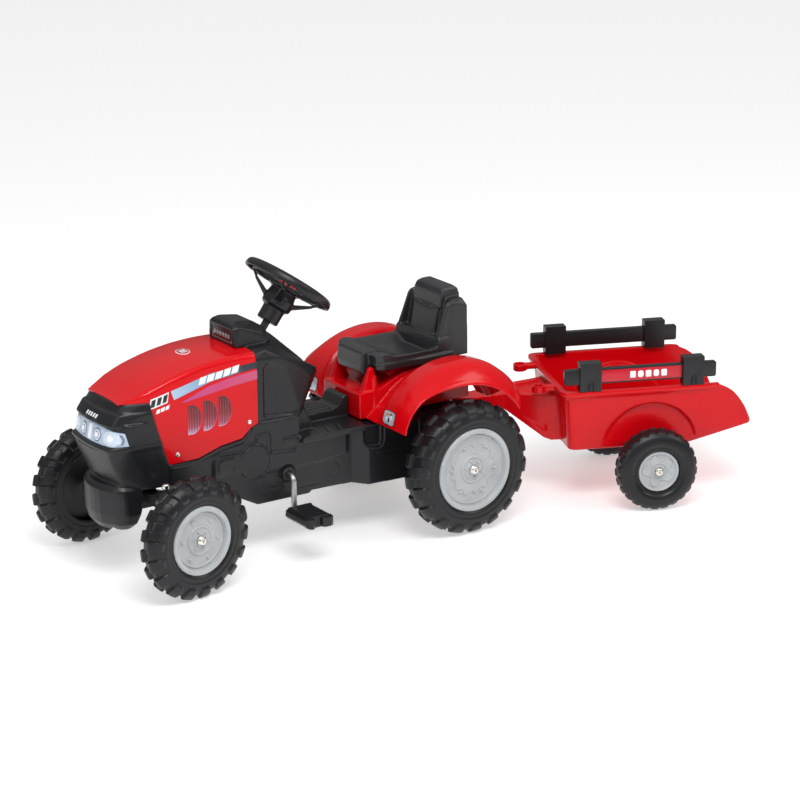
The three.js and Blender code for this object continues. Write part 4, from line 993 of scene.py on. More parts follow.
def seat_base_parts():
    deck = [(-88, 214), (-88, 262), (-60, 290), (0, 295), (60, 287), (100, 270), (118, 263), (158, 263),
            (158, 213)]
    adds = [guard(1), guard(-1), prism(deck, -60, 60)]
    adds += mirrored([(158, 213), (158, 262), (154, 263), (120, 264), (96, 262), (96, 213)], 55, 61.5)
    for s in (1, -1):
        adds.append(hull([(112, s * 45, 262), (148, s * 45, 262), (112, s * 58, 262), (148, s * 58, 262),
                          (122, s * 47.5, 304), (133, s * 47.5, 304), (122, s * 56, 304), (133, s * 56, 304),
                          (127.5, s * 51.5, 308.5)]))
        adds.append(hull([(118, s * 57, 224), (127, s * 57, 224), (118, s * 57, 292), (124, s * 57, 292),
                          (118, s * 66, 222), (127, s * 66, 222), (119, s * 60.5, 280), (124, s * 60.5, 280)]))
    adds.append(prism([(-50, 280), (-50, 299.5), (60, 299.5), (78, 284), (78, 262)], -41, 41))
    return adds


def seat_base_cuts():
    cuts = [box((-300, -92.4, 150), (140, 92.4, 208.6))]
    cuts.append(prism([(-83, 190), (-83, 259), (-57, 285.5), (0, 291.5), (58, 283), (97, 265), (116, 258.5),
                       (153.5, 258.5), (153.5, 190)], -54, 54))
    cuts.append(prism([(-45, 270), (-45, 295.5), (58, 295.5), (73, 282), (73, 250)], -37, 37))
    cuts.append(hull(both([(119, 30, 266.5), (152, 30, 266.5), (119, 33, 290), (152, 33, 290)])))
    return cuts


base = fused("seat_base", seat_base_parts(), seat_base_cuts(), voxel=1.6, softness=5)
finish(base, TRACTOR, "chassis", RED, ["seat_base_mudguards"], sharp=80)


LAMP_MIDDLE = (141.4, 132, 233.5)


def lamp_point(u, v, side, lift):
    """A point on the front of a mudguard: u across, v up, in millimetres from the lamp's middle."""
    x, y, z = LAMP_MIDDLE
    y += u
    angle = math.degrees(math.atan2(z + v - REAR["radius"], x - v * 0.28))
    r = guard_radius(angle, y) + lift
    t = math.radians(angle)
    return (r * math.cos(t), side * y, REAR["radius"] + r * math.sin(t))


def lamp_plate(outline, side, lift, middle=(0, 0), sink=1.2):
    """A thin plate with this (u, v) outline that follows the mudguard."""
    def ring(scale, out):
        return [lamp_point(middle[0] + u * scale, middle[1] + v * scale, side, out) for u, v in outline]

    domed = [ring(scale, lift * (1 - 0.25 * float(smooth((scale - 0.8) / 0.2)))) for scale in (0.35, 0.7, 0.94,
        1.0)]
    return plate([ring(0.01, lift), *domed, ring(1, -sink), ring(0.01, -sink)])


LAMP = moulded("lamp_silver", (0.70, 0.73, 0.78), (0.52, 0.55, 0.60), 0.14, 0.05, 500, 0.01, 160, metallic=0.35)
LAMP_GLOW = moulded("lamp_lens", (0.72, 0.79, 0.88), (0.50, 0.59, 0.72), 0.08, 0.03, 500, 0.01, 260)
AMBER = moulded("lamp_amber", (0.85, 0.28, 0.02), (0.62, 0.14, 0.01), 0.14, 0.04, 500, 0.01, 120)
for name, side in SIDES:
    frame_line = rounded([(19, 13), (-19, 13), (-19, -13), (19, -13)], 8)
    label("lamp_frame_" + name, [lamp_plate(frame_line, side, 0.55)], INK)
    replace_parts(label("lamp_face_" + name, [lamp_plate([(u * 0.93, v * 0.9) for u, v in frame_line], side,
        0.95)], LAMP), "mudguard_lamp_" + name)
    label("lamp_bulbs_" + name, [lamp_plate(disc_points(4.6, 28), side, 1.3, (7.2, 1.0)),
                                 lamp_plate(disc_points(4.6, 28), side, 1.3, (-6.0, -3.0))], LAMP_GLOW)
    label("lamp_dark_" + name, [lamp_plate(rounded([(3, 3.4), (-3, 3.4), (-4, -3.4), (2, -3.4)], 1), side,
                                           1.25, (0.5, -4.2)),
                                lamp_plate(rounded([(4, 1.2), (-4, 1.2), (-4, -1.2), (4, -1.2)], 0.5), side,
                                           1.25, (5.5, 6.2))], INK)
    label("lamp_amber_" + name, [lamp_plate(rounded([(4.6, 2.2), (-4.6, 2.2), (-3, -2.2), (4, -2.2)], 1), side,
                                            1.3, (-5, 5.2))], AMBER)


# ---------- headlights, badge and screws ----------
def nose_plate(outline, lift, sink=2.0, levels=LAMP_BAND):
    """A thin plate with this (round, z) outline that follows the nose."""
    rings = []
    middle_u = sum(p[0] for p in outline) / len(outline)
    middle_z = sum(p[1] for p in outline) / len(outline)
    for scale, out in ((0.01, lift), (0.2, lift), (0.4, lift), (0.6, lift), (0.8, lift), (0.96, lift),
                       (1.0, lift - 0.35),
                       (1.0, -sink), (0.8, -sink), (0.6, -sink), (0.3, -sink), (0.01, -sink)):
        rings.append([nose_point(middle_u + (u - middle_u) * scale, middle_z + (z - middle_z) * scale, out,
                                 levels)
                      for u, z in outline])
    return plate(rings)


def strip_outline():
    low = [(u, 258.2 + 0.0003 * u * u) for u in np.linspace(-97, 97, 61)]
    high = [(u, 291.0 - 0.0010 * u * u) for u in np.linspace(86, -86, 55)]
    return low + high


HEAD_STRIP = moulded("lamp_strip", (0.52, 0.62, 0.76), (0.34, 0.43, 0.57), 0.10, 0.04, 500, 0.01, 70)
strip = label("headlight_strip", [nose_plate(strip_outline(), 1.2)], HEAD_STRIP)
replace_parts(strip, "headlight_panel")
ring_parts, lens_parts, glow_parts, shade_parts = [], [], [], []
for s in (1, -1):
    ring_parts.append(nose_plate(disc_points(11.8, 44, s * 24, 273.5), 1.8))
    lens_parts.append(nose_plate(disc_points(9.8, 44, s * 24, 273.5), 2.5))
    ring_parts.append(nose_plate(disc_points(6.2, 32, s * 24, 273.5), 2.9))
    glow_parts.append(nose_plate(disc_points(4.9, 32, s * 24, 273.5), 3.3))
    corner = [(43, 264), (41, 273), (44, 283), (56, 287), (72, 284), (82, 276), (82, 267), (74, 261.5),
              (56, 260.8)]
    lens_parts.append(nose_plate(rounded([(s * u, z) for u, z in corner], 5), 1.9))
    glow_parts.append(nose_plate(disc_points(6.6, 32, s * 60, 274), 2.4))
    arc = [(77, 282), (83, 280), (88, 273), (87, 265), (82, 262.5), (84.5, 271)]
    shade_parts.append(nose_plate(rounded([(s * u, z) for u, z in arc], 1.5), 2.3))
glow_parts.append(nose_plate(rounded([(-5.5, 260.5), (5.5, 260.5), (5.5, 288), (-5.5, 288)], 1), 1.8))
LAMP_SHADE = moulded("lamp_rim", (0.20, 0.24, 0.32), (0.12, 0.15, 0.20), 0.16, 0.05, 500, 0.01, 90)
label("headlight_rings", ring_parts, LAMP_SHADE)
label("headlight_lenses", lens_parts, LAMP_GLOW)
label("headlight_shades", shade_parts, LAMP_SHADE)
label("headlight_glow", glow_parts, moulded("lamp_white", (0.90, 0.93, 0.97), (0.80, 0.85, 0.92), 0.08, 0.02,
                                            400, 0.01, 90))


def brow_plate(u0, u1, z0, z1, lift):
    """A sticker on the lower brow band."""
    return nose_plate(rounded([(u0, z0), (u1, z0), (u1, z1), (u0, z1)], 1.2), lift, levels=LOWER_BROW)


label("brow_badge", [brow_plate(-23, 23, 297.5, 310, 0.9)], INK)
label("brow_badge_bars", [brow_plate(-18 + 8 * k, -13.4 + 8 * k, 301, 307, 1.4) for k in range(5)], WHITE)


def screw_parts(x, z, y, side):
    head = lathe([(0.2, y - 3.0), (4.2, y - 3.0), (4.4, y + 0.6), (3.6, y + 1.7), (1.4, y + 2.1),
                  (0.2, y + 2.1)], 28, closed=False)
    return moved(fixed(*capped(head)), Matrix.Translation((x, 0, z)) @ side_turn(side))


for name, side in SIDES:
    for place, x, z in (("front", 552, 228), ("rear", 405, 261)):
        piece("screw_" + place + "_" + name, [screw_parts(x, z, bonnet_side(x, z), side)], TRACTOR, "chassis",
              NICKEL, ["bonnet_screw_" + place + "_" + name], sharp=50)

# a plain oval badge on top of the bonnet
def bonnet_top(x, y):
    shoulder, crown = float(shoulder_at(x)), float(crown_at(x))
    half = bonnet_side(x, shoulder) - 11.5
    return shoulder + crown * (1 - min(1.0, abs(y) / half) ** 2)


def badge(radius_x, radius_y, lift, cx=490.5, cy=0.0, sink=0.8):
    outline = [(cx + radius_x * math.cos(t), cy + radius_y * math.sin(t)) for t in np.linspace(0, 2 * math.pi,
        49)[:-1]]
    rings = []
    for scale, out in ((0.01, lift), (0.4, lift), (0.8, lift), (0.97, lift), (1.0, lift - 0.25), (1.0, -sink),
                       (0.01, -sink)):
        points = [(cx + (x - cx) * scale, cy + (y - cy) * scale) for x, y in outline]
        rings.append([(x, y, bonnet_top(x, y) + out) for x, y in points])
    return plate(rings)


label("badge_rim", [badge(11.5, 17.5, 0.6)], moulded("badge_silver", (0.80, 0.78, 0.78), (0.62, 0.60, 0.60),
    0.22, 0.04, 500, 0.01, 60))
label("badge_face", [badge(9.6, 15.4, 0.9)], moulded("badge_red", (0.55, 0.01, 0.02), (0.45, 0.008, 0.016),
    0.2, 0.04, 500, 0.01, 60))
label("badge_bars", [badge(1.3, 10.5, 1.2, 490.5 + d, 0) for d in (-4.0, 0.0, 4.0)], WHITE)

# name plate on the leaning face of the air box, without any lettering
AIR_BOX = TRACTOR @ Matrix.Translation((408.6, 0, 391)) @ Matrix.Rotation(math.radians(-3.0), 4, "Y")


def upright_plate(name, y0, y1, z0, z1, depth, material):
    outline = rounded([(y0, z0), (y1, z0), (y1, z1), (y0, z1)], 2.4)
    verts = [(0, y, z) for y, z in outline] + [(depth, y, z) for y, z in outline]
    n = len(outline)
    faces = [list(range(n)), list(range(n, 2 * n))] + [[i, (i + 1) % n, (i + 1) % n + n,
        i + n] for i in range(n)]
    obj = bevelled(name, [fixed(verts, faces)], width=0.3, segments=2)
    return finish(obj, AIR_BOX, "chassis", material)


upright_plate("air_box_frame", -35, 35, 3.0, 25.5, 1.3,
              moulded("frame_silver", (0.33, 0.34, 0.36), (0.22, 0.23, 0.25), 0.3, 0.05,
                                                               500, 0.02, 60, metallic=0.5))
upright_plate("air_box_plate", -32.5, 32.5, 5.5, 23, 1.7, INK)
for k in range(6):
    upright_plate("air_box_bar_" + str(k), -27 + 9.4 * k, -20.5 + 9.4 * k, 10, 18.5, 2.1,
                  moulded("bar_grey_" + str(k), (0.30, 0.31, 0.33), (0.24, 0.25, 0.27), 0.3, 0.05, 500, 0.01,
                          60))


# ---------- seat ----------
def above(xs, ys, height, top):
    """The space between a surface z = height(x, y) and a level top."""
    low = [[(x, y, height(x, y)) for y in ys] for x in xs]
    high = [[(x, y, top) for y in ys] for x in xs]
    nx, ny = len(xs), len(ys)
    verts, faces = grid(low)
    upper = [tuple(p) for row in high for p in row]
    faces += [[i + nx * ny for i in f[::-1]] for f in faces]
    rim = ([i * ny for i in range(nx)] + [(nx - 1) * ny + j for j in range(1, ny)]
           + [i * ny + ny - 1 for i in range(nx - 2, -1, -1)] + [j for j in range(ny - 2, 0, -1)])
    m = len(rim)
    faces += [[rim[k], rim[(k + 1) % m], rim[(k + 1) % m] + nx * ny, rim[k] + nx * ny] for k in range(m)]
    return fixed(verts + upper, faces)


def pan_height(x, y):
    """The sitting surface: a hollow that rises to the thigh rolls, the sides and the back."""
    front = 18 * float(smooth((x - 46) / 66)) - 3.5 * float(smooth((x - 104) / 30))
    back = 24 * float(smooth((2 - x) / 40)) ** 1.5
    side = 15 * float(smooth((abs(y) - 26) / 46)) ** 1.3 * (1 - 0.35 * float(smooth((x - 46) / 60)))
    return 311 + max(front, side * 0.9) * 0.6 + 0.4 * (front + side) + back


def seat_parts():
    adds = [hull(both([(122, 63, 309), (124, 62, 333), (112, 70, 333), (108, 71, 310), (20, 73, 334),
                       (-40, 71, 342), (-60, 68, 310), (60, 73, 310), (60, 73, 332), (-60, 68, 340)]))]
    # lower edge of the moulding
    adds.append(hull(both([(122, 65, 302), (124, 64, 313), (110, 73, 313), (20, 75.5, 313), (-46, 73, 313),
                           (-46, 72, 302), (20, 74.5, 300), (108, 72, 301)])))
    # the hanging tongue between the posts
    adds.append(hull(both([(140, 42.5, 303), (138, 42.5, 331), (134, 41, 334), (104, 34, 331), (104, 38, 302),
                           (137, 42, 291), (120, 42, 291)])))
    adds.append(hull(both([(-26, 64, 322), (-40, 66, 396), (-47, 60, 409), (-72, 61, 410), (-79, 68, 396),
                           (-79, 70, 302), (-30, 71, 302), (-52, 67, 404)])))
    adds.append(hull(both([(-33, 45, 391), (-36, 45, 417), (-40, 42, 426), (-47, 37, 430.5), (-66, 37, 431),
                           (-75, 42, 424), (-78, 44, 412), (-78, 44, 391)])))
    # raised middle panel and the side wings of the back
    adds.append(hull(both([(-18, 38, 324), (-32, 39, 392), (-50, 39, 392), (-50, 38, 320)])))
    adds += [hull([(-6, s * 60, 322), (-6, s * 68, 322), (-32, s * 58, 400), (-36, s * 66, 400),
                   (-40, s * 60, 408), (-60, s * 57, 405), (-60, s * 66, 405), (-60, s * 70, 318),
                   (-40, s * 56, 322)]) for s in (1, -1)]
    return adds


def seat_cuts():
    cuts = [above(np.linspace(-34, 160, 56), np.linspace(-90, 90, 52), pan_height, 360)]
    cuts[0] = carved([cuts[0]], [hull(both([(-60, 90, 280), (-60, 90, 480), (-8, 90, 316), (-36, 90, 480),
                                            (-30, 90, 360)])),
                                 hull(both([(142, 43, 280), (142, 43, 334.2), (96, 30, 328), (96, 36, 280),
                                            (130, 43, 335)]))])
    cuts.append(box((-95, -46, 240), (100, 46, 301)))
    cuts.append(box((-60, -62, 240), (104, 62, 306)))
    cuts += [box((80, min(s * 43.8, s * 61.5), 270), (175, max(s * 43.8, s * 61.5), 308.8)) for s in (1, -1)]
    cuts.append(hull(both([(-48, 62, 285), (-57, 55, 390), (-70, 55, 390), (-72, 62, 285)])))
    # slots beside the tongue, seams along the pan and up the back
    cuts += [tube([(128, s * 45, 333), (104, s * 36, 330), (84, s * 30, 322)], 2.2, 10) for s in (1, -1)]
    seam = [(76, 33), (30, 38), (-4, 41), (-24, 42)]
    for s in (1, -1):
        cuts.append(tube([(x, s * y, pan_height(x, y) + 0.6) for x, y in seam], 1.7, 10))
        cuts.append(tube([(-21, s * 41, 332), (-29, s * 42, 360), (-37, s * 43.5, 396)], 1.9, 10))
        cuts.append(tube([(70, s * 76.6, 322), (-56, s * 75.6, 322)], 1.7, 10))
    cuts.append(tube([(-30, -41, 393), (-32, -20, 389.5), (-32.5, 0, 388.5), (-32, 20, 389.5), (-30, 41, 393)],
                     1.9, 10, 12))
    cuts.append(tube([(-3, -39, 318), (-2, 0, 313.5), (-3, 39, 318)], 1.6, 10, 14))
    return cuts


seat = fused("seat_shell", seat_parts(), seat_cuts(), voxel=1.6, softness=7)
SEAT_BLACK = moulded("black_seat", (0.020, 0.0205, 0.022), (0.014, 0.0145, 0.0165), 0.36, 0.05, 1700, 0.20, 14,
                     edge_highlight=0.6)
finish(seat, TRACTOR, "seat", SEAT_BLACK, ["seat"], sharp=80)


# ---------- steering ----------
WHEEL_RADIUS = 86.5


def steering_wheel_parts():
    rim = [(WHEEL_RADIUS + a, y) for a, y in (
        (0, -6), (0.2, -1), (-0.8, 4), (-3.5, 7.8), (-8, 9.6), (-13, 9.6), (-17.5, 7.4), (-20.4, 3), (-21, -2),
        (-20.4, -6.5),
        (-18.4, -7.4), (-16.4, -6), (-15.4, 1), (-12.5, 4.4), (-8, 4.4), (-5, 1), (-4, -6), (-2, -7.2))]
    adds = [lathe(rim, 128)]
    adds.append(lathe([(7.6, -77.6), (19, -78), (20.4, -76.6), (20.8, -49), (18, -44), (7.6, -44)], 48))
    adds.append(lathe([(0.4, -52), (19, -52), (24, -50), (27.6, -47), (28.6, -44), (28.8, -31), (27.4, -28),
                       (24.6, -16),
                       (30, -14.5), (33, -12), (33, -7), (31.5, -5.5), (29.5, -6), (29, -11), (24, -13.5),
                       (0.4, -14)], 56, closed=False))
    for k in range(4):
        turn = Matrix.Rotation(math.radians(45 + 90 * k), 4, "Y")
        spoke = hull([(20, -45, -8), (20, -45, 8), (24, -31, -9), (24, -31, 9), (58, -19, -4.4), (58, -19, 4.4),
                      (58, -13.5, -4.4), (58, -13.5, 4.4)])
        adds.append(moved(spoke, turn))
        for s in (1, -1):
            adds.append(moved(hull([(56, -19.6, s * 0.8), (56, -19.6, s * 4.6), (56, -13.5, s * 0.8),
                                    (56, -13.5, s * 4.6),
                                    (72, -5.5, s * 4.5), (72, -5.5, s * 9), (72, 1.5, s * 4.5),
                                    (72, 1.5, s * 9)]), turn))
    return adds


wheel_adds = steering_wheel_parts()
wheel_adds[2] = capped(wheel_adds[2])
# the column bore, and the pocket the horn block sinks into when pressed
wheel_cuts = [closed_lathe([(0.3, -95), (7.5, -95), (7.5, -33.8), (0.3, -33.8)], 32),
              box((-17.9, -18.4, -12.4), (17.9, -9, 12.4))]
wheel_obj = fused("steering_wheel_shell", wheel_adds, wheel_cuts, voxel=1.25, softness=3)
finish(wheel_obj, COLUMN, "steering", BLACK, ["steering_wheel"], sharp=80)
horn = bevelled("horn_block", [hull([(16.5, -13.5, 11), (16.5, -13.5, -11), (-16.5, -13.5, 11),
                                     (-16.5, -13.5, -11),
                                     (15, 0.9, 9.6), (15, 0.9, -9.6), (-15, 0.9, 9.6), (-15, 0.9, -9.6)])],
                1.8, 4)
finish(horn, COLUMN, "horn", RED, ["horn_button"])
# ribs across the horn block
horn_ribs = bevelled("horn_ribs", [box((-17, -10.5, z - 1.0), (17, -2.0, z + 1.0)) for z in (-4.5, 4.5)], 0.5,
                     2)
finish(horn_ribs, COLUMN, "horn", RED)

COLUMN_PLASTIC = moulded("column_grey", (0.035, 0.037, 0.04), (0.024, 0.026, 0.03), 0.32, 0.06, 1200, 0.05, 60,
                         metallic=0.4)
arm_y = -COLUMN_LENGTH + 44
piece("column_rod", [tube([(0, -COLUMN_LENGTH, 0), (0, -34.4, 0)], 7, 32),
                     tube([(0, arm_y, 0), (-45, arm_y, 0)], 6, 24),
                     tube([(-45, arm_y + 6, 0), (-45, arm_y - 32, 0)], 5, 24),
                     closed_lathe([(0.3, arm_y - 9), (9.4, arm_y - 9), (10, arm_y - 8), (10, arm_y + 8),
                                   (9.4, arm_y + 9), (0.3, arm_y + 9)], 32)],
      COLUMN, "steering", COLUMN_PLASTIC, ["steering_column"], sharp=50)


# ---------- crank, pedals, chain and rear axle ----------
crank_path = [(CRANK_X, -179.5, CRANK_Z + THROW), (CRANK_X, -ARM_Y, CRANK_Z + THROW),
              (CRANK_X, -ARM_Y, CRANK_Z),
              (CRANK_X, ARM_Y, CRANK_Z), (CRANK_X, ARM_Y, CRANK_Z - THROW), (CRANK_X, 179.5, CRANK_Z - THROW)]
piece("crank_rod", [tube(crank_path, 5.5, 32, 13)], TRACTOR, "crank", CRANK, ["crank_axle"],
      sharp=60)


def pedal_parts(side):
    """A flat-topped block; y runs outwards from the middle of the vehicle."""
    z = CRANK_Z - side * THROW
    outline = [(-33, -3), (-29, -10.5), (19, -10.5), (25.5, -3.5), (24, 6.5), (16, 10.6), (-25, 10.6), (-32, 6)]
    adds = [prism([(CRANK_X + a, z + b) for a, b in outline], *sorted((side * 113.5, side * 183)))]
    for x0, x1 in ((-30, -4), (8, 23)):
        ear = [(CRANK_X + x0, side * 180), (CRANK_X + x1, side * 180), (CRANK_X + x1 - 2, side * 191),
               (CRANK_X + x1 - 7, side * 194.5), (CRANK_X + x0 + 8, side * 194.5),
               (CRANK_X + x0 + 2, side * 191)]
        adds.append(prism(ear, z - 8.5, z + 9.2, "xy"))
    adds.append(hull([(CRANK_X + x, side * y, z + h) for x,
                      h in ((-30, 9), (20, 9), (-28, 11), (18, 11)) for y in (114, 118)]))
    adds.append(hull([(CRANK_X + x, side * y, z + h) for x,
                      h in ((-12, -8), (12, -8), (-12, 8), (12, 8)) for y in (112.6, 120)]))
    cuts = [tube([(CRANK_X, side * 100, z), (CRANK_X, side * 180.5, z)], 6.2, 24)]
    cuts += [hull([(CRANK_X + x, side * y, z + h) for x,
                   h in ((-26, 9.4), (15, 9.4), (-27, 14), (16, 14)) for y in (121, 124)])]
    for k in range(5):
        near, far = 130 + 12 * k, 132.2 + 12 * k
        groove_line = [(CRANK_X + a, side * b) for a, b in ((-24, near), (13, near), (13, far), (-24, far))]
        cuts.append(prism(groove_line, z + 9.6, z + 14, "xy"))
    cuts += [prism([(CRANK_X + a, side * b) for a, b in ((-3, 185), (7, 185), (7, 200), (-3, 200))], z - 14,
                   z + 14, "xy")]
    return adds, cuts


for name, side in SIDES:
    adds, cuts = pedal_parts(side)
    block = fused("pedal_block_" + name, adds, cuts, voxel=1.0, softness=3)
    finish(block, TRACTOR, "pedal_" + name, BLACK, ["pedal_" + name], sharp=80)
    bush = lathe([(6.2, 69), (17.4, 69), (17.9, 69.6), (17.9, 80), (16.6, 80.4), (12.6, 80.6), (12.2, 86),
                  (11.4, 87), (6.8, 87), (6.2, 86.4)], 56)
    piece("crank_bearing_" + name, [bush], TRACTOR @ Matrix.Translation((CRANK_X, 0, CRANK_Z))
          @ side_turn(side), "chassis", BLACK, ["crank_bush_" + name], sharp=50)

piece("rear_axle_rod", [moved(closed_lathe([(0.3, -202), (5.4, -202), (6, -201), (6, 201), (5.4, 202),
                                            (0.3, 202)], 40), Matrix.Translation((0, 0, REAR["radius"])))],
      TRACTOR, "rear_axle", CRANK, ["rear_axle"], sharp=50)

CHAIN_PITCH, CHAIN_MIDDLE = 12.7, -42.0


def chain_radius(teeth):
    return CHAIN_PITCH / (2 * math.sin(math.pi / teeth))


def chain_loop():
    """The chain's path round both sprockets as evenly spaced (x, z) points."""
    big, small = chain_radius(19) + 5.0, chain_radius(11) + 5.0
    dx, dz = CRANK_X, CRANK_Z - REAR["radius"]
    tilt, apart = math.atan2(dz, dx), math.hypot(dx, dz)
    lean = math.asin((big - small) / apart)
    points = []
    for t in np.linspace(-math.pi / 2 - lean, math.pi / 2 + lean, 60):
        points.append((CRANK_X + big * math.cos(tilt + t), CRANK_Z + big * math.sin(tilt + t)))
    for t in np.linspace(math.pi / 2 + lean, 3 * math.pi / 2 - lean, 40):
        points.append((small * math.cos(tilt + t), REAR["radius"] + small * math.sin(tilt + t)))
    line = np.array(points + [points[0]])
    arc = np.concatenate([[0], np.cumsum(np.hypot(*np.diff(line, axis=0).T))])
    count = 2 * round(arc[-1] / CHAIN_PITCH / 2)
    at = np.arange(count) * arc[-1] / count
    return [(float(np.interp(a, arc, line[:, 0])), float(np.interp(a, arc, line[:, 1]))) for a in at]


def chain_parts():
    pins = chain_loop()
    parts = []
    for k, (x0, z0) in enumerate(pins):
        x1, z1 = pins[(k + 1) % len(pins)]
        heading = math.atan2(z1 - z0, x1 - x0)
        length = math.hypot(x1 - x0, z1 - z0)
        outline = []
        for end, start in ((length, -math.pi / 2), (0, math.pi / 2)):
            for t in np.linspace(0, math.pi, 7):
                outline.append((end + 2.6 * math.cos(start + t), 2.6 * math.sin(start + t)))
        c, s = math.cos(heading), math.sin(heading)
        placed = [(x0 + a * c - b * s, z0 + a * s + b * c) for a, b in outline]
        gap = 2.1 if k % 2 else 1.4
        for s_y in (1, -1):
            near, far = CHAIN_MIDDLE + s_y * gap, CHAIN_MIDDLE + s_y * (gap + 0.6)
            parts.append(prism(placed, min(near, far), max(near, far)))
        parts.append(tube([(x0, CHAIN_MIDDLE - 2.9, z0), (x0, CHAIN_MIDDLE + 2.9, z0)], 1.7, 12))
    return parts


piece("chain_links", chain_parts(), TRACTOR, "chassis", CRANK, ["drive_chain"], sharp=40)


def kept(node, material, width=0.0008):
    """A CAD node that stays, with its edges rounded."""
    obj = bpy.data.objects[node]
    obj.data.materials.clear()
    obj.data.materials.append(material)
    bevel = obj.modifiers.new("round_edges", "BEVEL")
    bevel.width, bevel.segments, bevel.limit_method = width, 2, "ANGLE"
    bevel.angle_limit = math.radians(35)
    bevel.use_clamp_overlap = True


for node in ("front_axle_beam", "knuckle_left", "knuckle_right", "track_plate"):
    kept(node, DARK)
for node in ("drive_sprocket", "driven_sprocket"):
    kept(node, CRANK, 0.0004)

for name, side in SIDES:
    cap = closed_lathe([(0.3, 178.6), (6.4, 178.6), (7, 179.2), (7, 184.6), (5.8, 186.8), (3, 187.8),
                        (0.3, 188)], 36)
    piece("kingpin_cover_" + name, [moved(cap, Matrix.Rotation(math.pi / 2, 4, "X"))], knuckle_matrix(side),
          "knuckle_" + name, NICKEL, ["kingpin_cap_" + name], sharp=50)

pin = closed_lathe([(0.3, -30), (4.2, -30), (5, -28.6), (5, 18.8), (10.2, 18.8), (11, 19.8), (11, 25.4),
                    (9.6, 27), (0.3, 27)], 36)
piece("hitch_pin_rod", [moved(pin, Matrix.Rotation(math.pi / 2, 4, "X"))],
      TRACTOR @ Matrix.Translation((HITCH_X, 0, HITCH_Z)),
      "hitch_pin", CRANK, ["hitch_pin"], sharp=50)


# ---------- trailer ----------
def level_ring(outline, radius, z, steps=5):
    return [(x, y, z) for x, y in rounded(outline, radius, steps)]


def bed_ring(front, rear, half, z, radius=16):
    return level_ring([(front, half), (front, -half), (rear, -half), (rear, half)], radius, z)


def arch(radius_x, radius_z, side, near, far):
    outline = [(radius_x * math.cos(t), 104 + radius_z * math.sin(t)) for t in np.linspace(0, math.pi, 33)]
    return prism(outline, *sorted((side * near, side * far)))


def trailer_parts():
    tub = hull(bed_ring(157, -88, 115, 110.5, 14) + bed_ring(153, -86, 111, 108, 14) + bed_ring(170, -104,
        130.5, 230, 20)
               + both([(-134, 130.5, 225.5), (-148, 130.4, 219), (-160, 130, 210.5), (-172, 129.8, 197),
                       (-182, 129, 181),
                       (-191, 128.5, 163), (-196, 128, 151), (-195, 128, 146), (-190, 127, 143)]))
    inside = hull(bed_ring(152.5, -90, 110.5, 112.6, 12) + bed_ring(165.5, -104, 126, 231,
        17) + bed_ring(165.5, -260, 126, 300, 17)
                  + both([(-260, 124, 172.5), (-260, 126, 300)]))
    inside = carved([inside], [arch(97, 99, s, 113.2, 140) for s in (1, -1)])
    adds = [tub]
    flange = rounded([(178, 138), (178, -138), (-118, -138), (-132, -130), (-132, 130), (-118, 138)], 22, 7)
    adds.append(prism(flange, 222.5, 230.2, "xy"))
    adds.append(hull([(x, y, 222.5) for x, y in flange] + bed_ring(167, -118, 129, 214, 18)))
    # the bead along the rear edge of the floor
    adds.append(tube([(-190.5, -127, 147.5), (-190.5, 127, 147.5)], 4.6, 16))
    adds += [tube([(-104, s * 131, 226.5), (-134, s * 130.2, 222.5), (-160, s * 129.6, 207),
                   (-181, s * 129, 178), (-192, s * 127.6, 152)], 3.4, 12, 10) for s in (1, -1)]
    # tongue
    adds.append(hull(both([(157, 60, 114), (168, 62, 205), (262, 30, 205), (262, 30, 172), (190, 54, 118),
                           (176, 58, 113)])))
    adds.append(hull(both([(258, 31, 205), (258, 31, 171), (317, 22, 180), (317, 22, 198)])))
    adds.append(prism(rounded([(310, 23), (345, 20), (357, 12), (360, 0), (357, -12), (345, -20), (310, -23)],
                              6), 180, 197.6, "xy"))
    adds.append(hull(both([(172, 44, 204), (172, 44, 208), (250, 24, 204), (248, 22, 207), (176, 40, 209)])))
    for s in (1, -1):
        ring = [(x, y) for x, y in disc_points(13, 36, 207, s * 72)]
        adds.append(prism(ring, 216, 230.2, "xy"))
        adds.append(prism([(170, s * 72 - 10), (170, s * 72 + 10), (200, s * 72 + 8), (200, s * 72 - 8)], 219,
                          229.6, "xy"))
        adds.append(prism([(-24, 114), (24, 114), (12, 68), (-12, 68)], *sorted((s * 82, s * 100))))
    cuts = [inside]
    cuts += [arch(92, 94, s, 118.5, 145) for s in (1, -1)]
    cuts.append(hull(both([(176, 54, 85), (176, 55, 200), (266, 25, 200.5), (266, 25, 150), (190, 48, 85)])))
    # panels let into the sides and the top of the tongue
    cuts += [hull([(186, s * 60.5, 190), (186, s * 53, 130), (236, s * 42.5, 190), (236, s * 38.5, 166),
                   (186, s * 70, 190),
                   (236, s * 60, 190), (186, s * 70, 130), (236, s * 60, 166)]) for s in (1, -1)]
    cuts.append(hull(both([(182, 35, 207.4), (244, 18, 206), (182, 35, 214), (244, 18, 214)])))
    for s in (1, -1):
        cuts.append(prism(disc_points(8.6, 30, 207, s * 72), 205, 240, "xy"))
        cuts.append(prism([(180, s * 58), (180, s * 50), (187, s * 50), (187, s * 58)], 226, 240, "xy"))
    cuts.append(tube([(0, -140, TRAIL["radius"]), (0, 140, TRAIL["radius"])], 5.9, 24))
    cuts.append(tube([(345, 0, 150), (345, 0, 230)], 7, 28))
    return adds, cuts


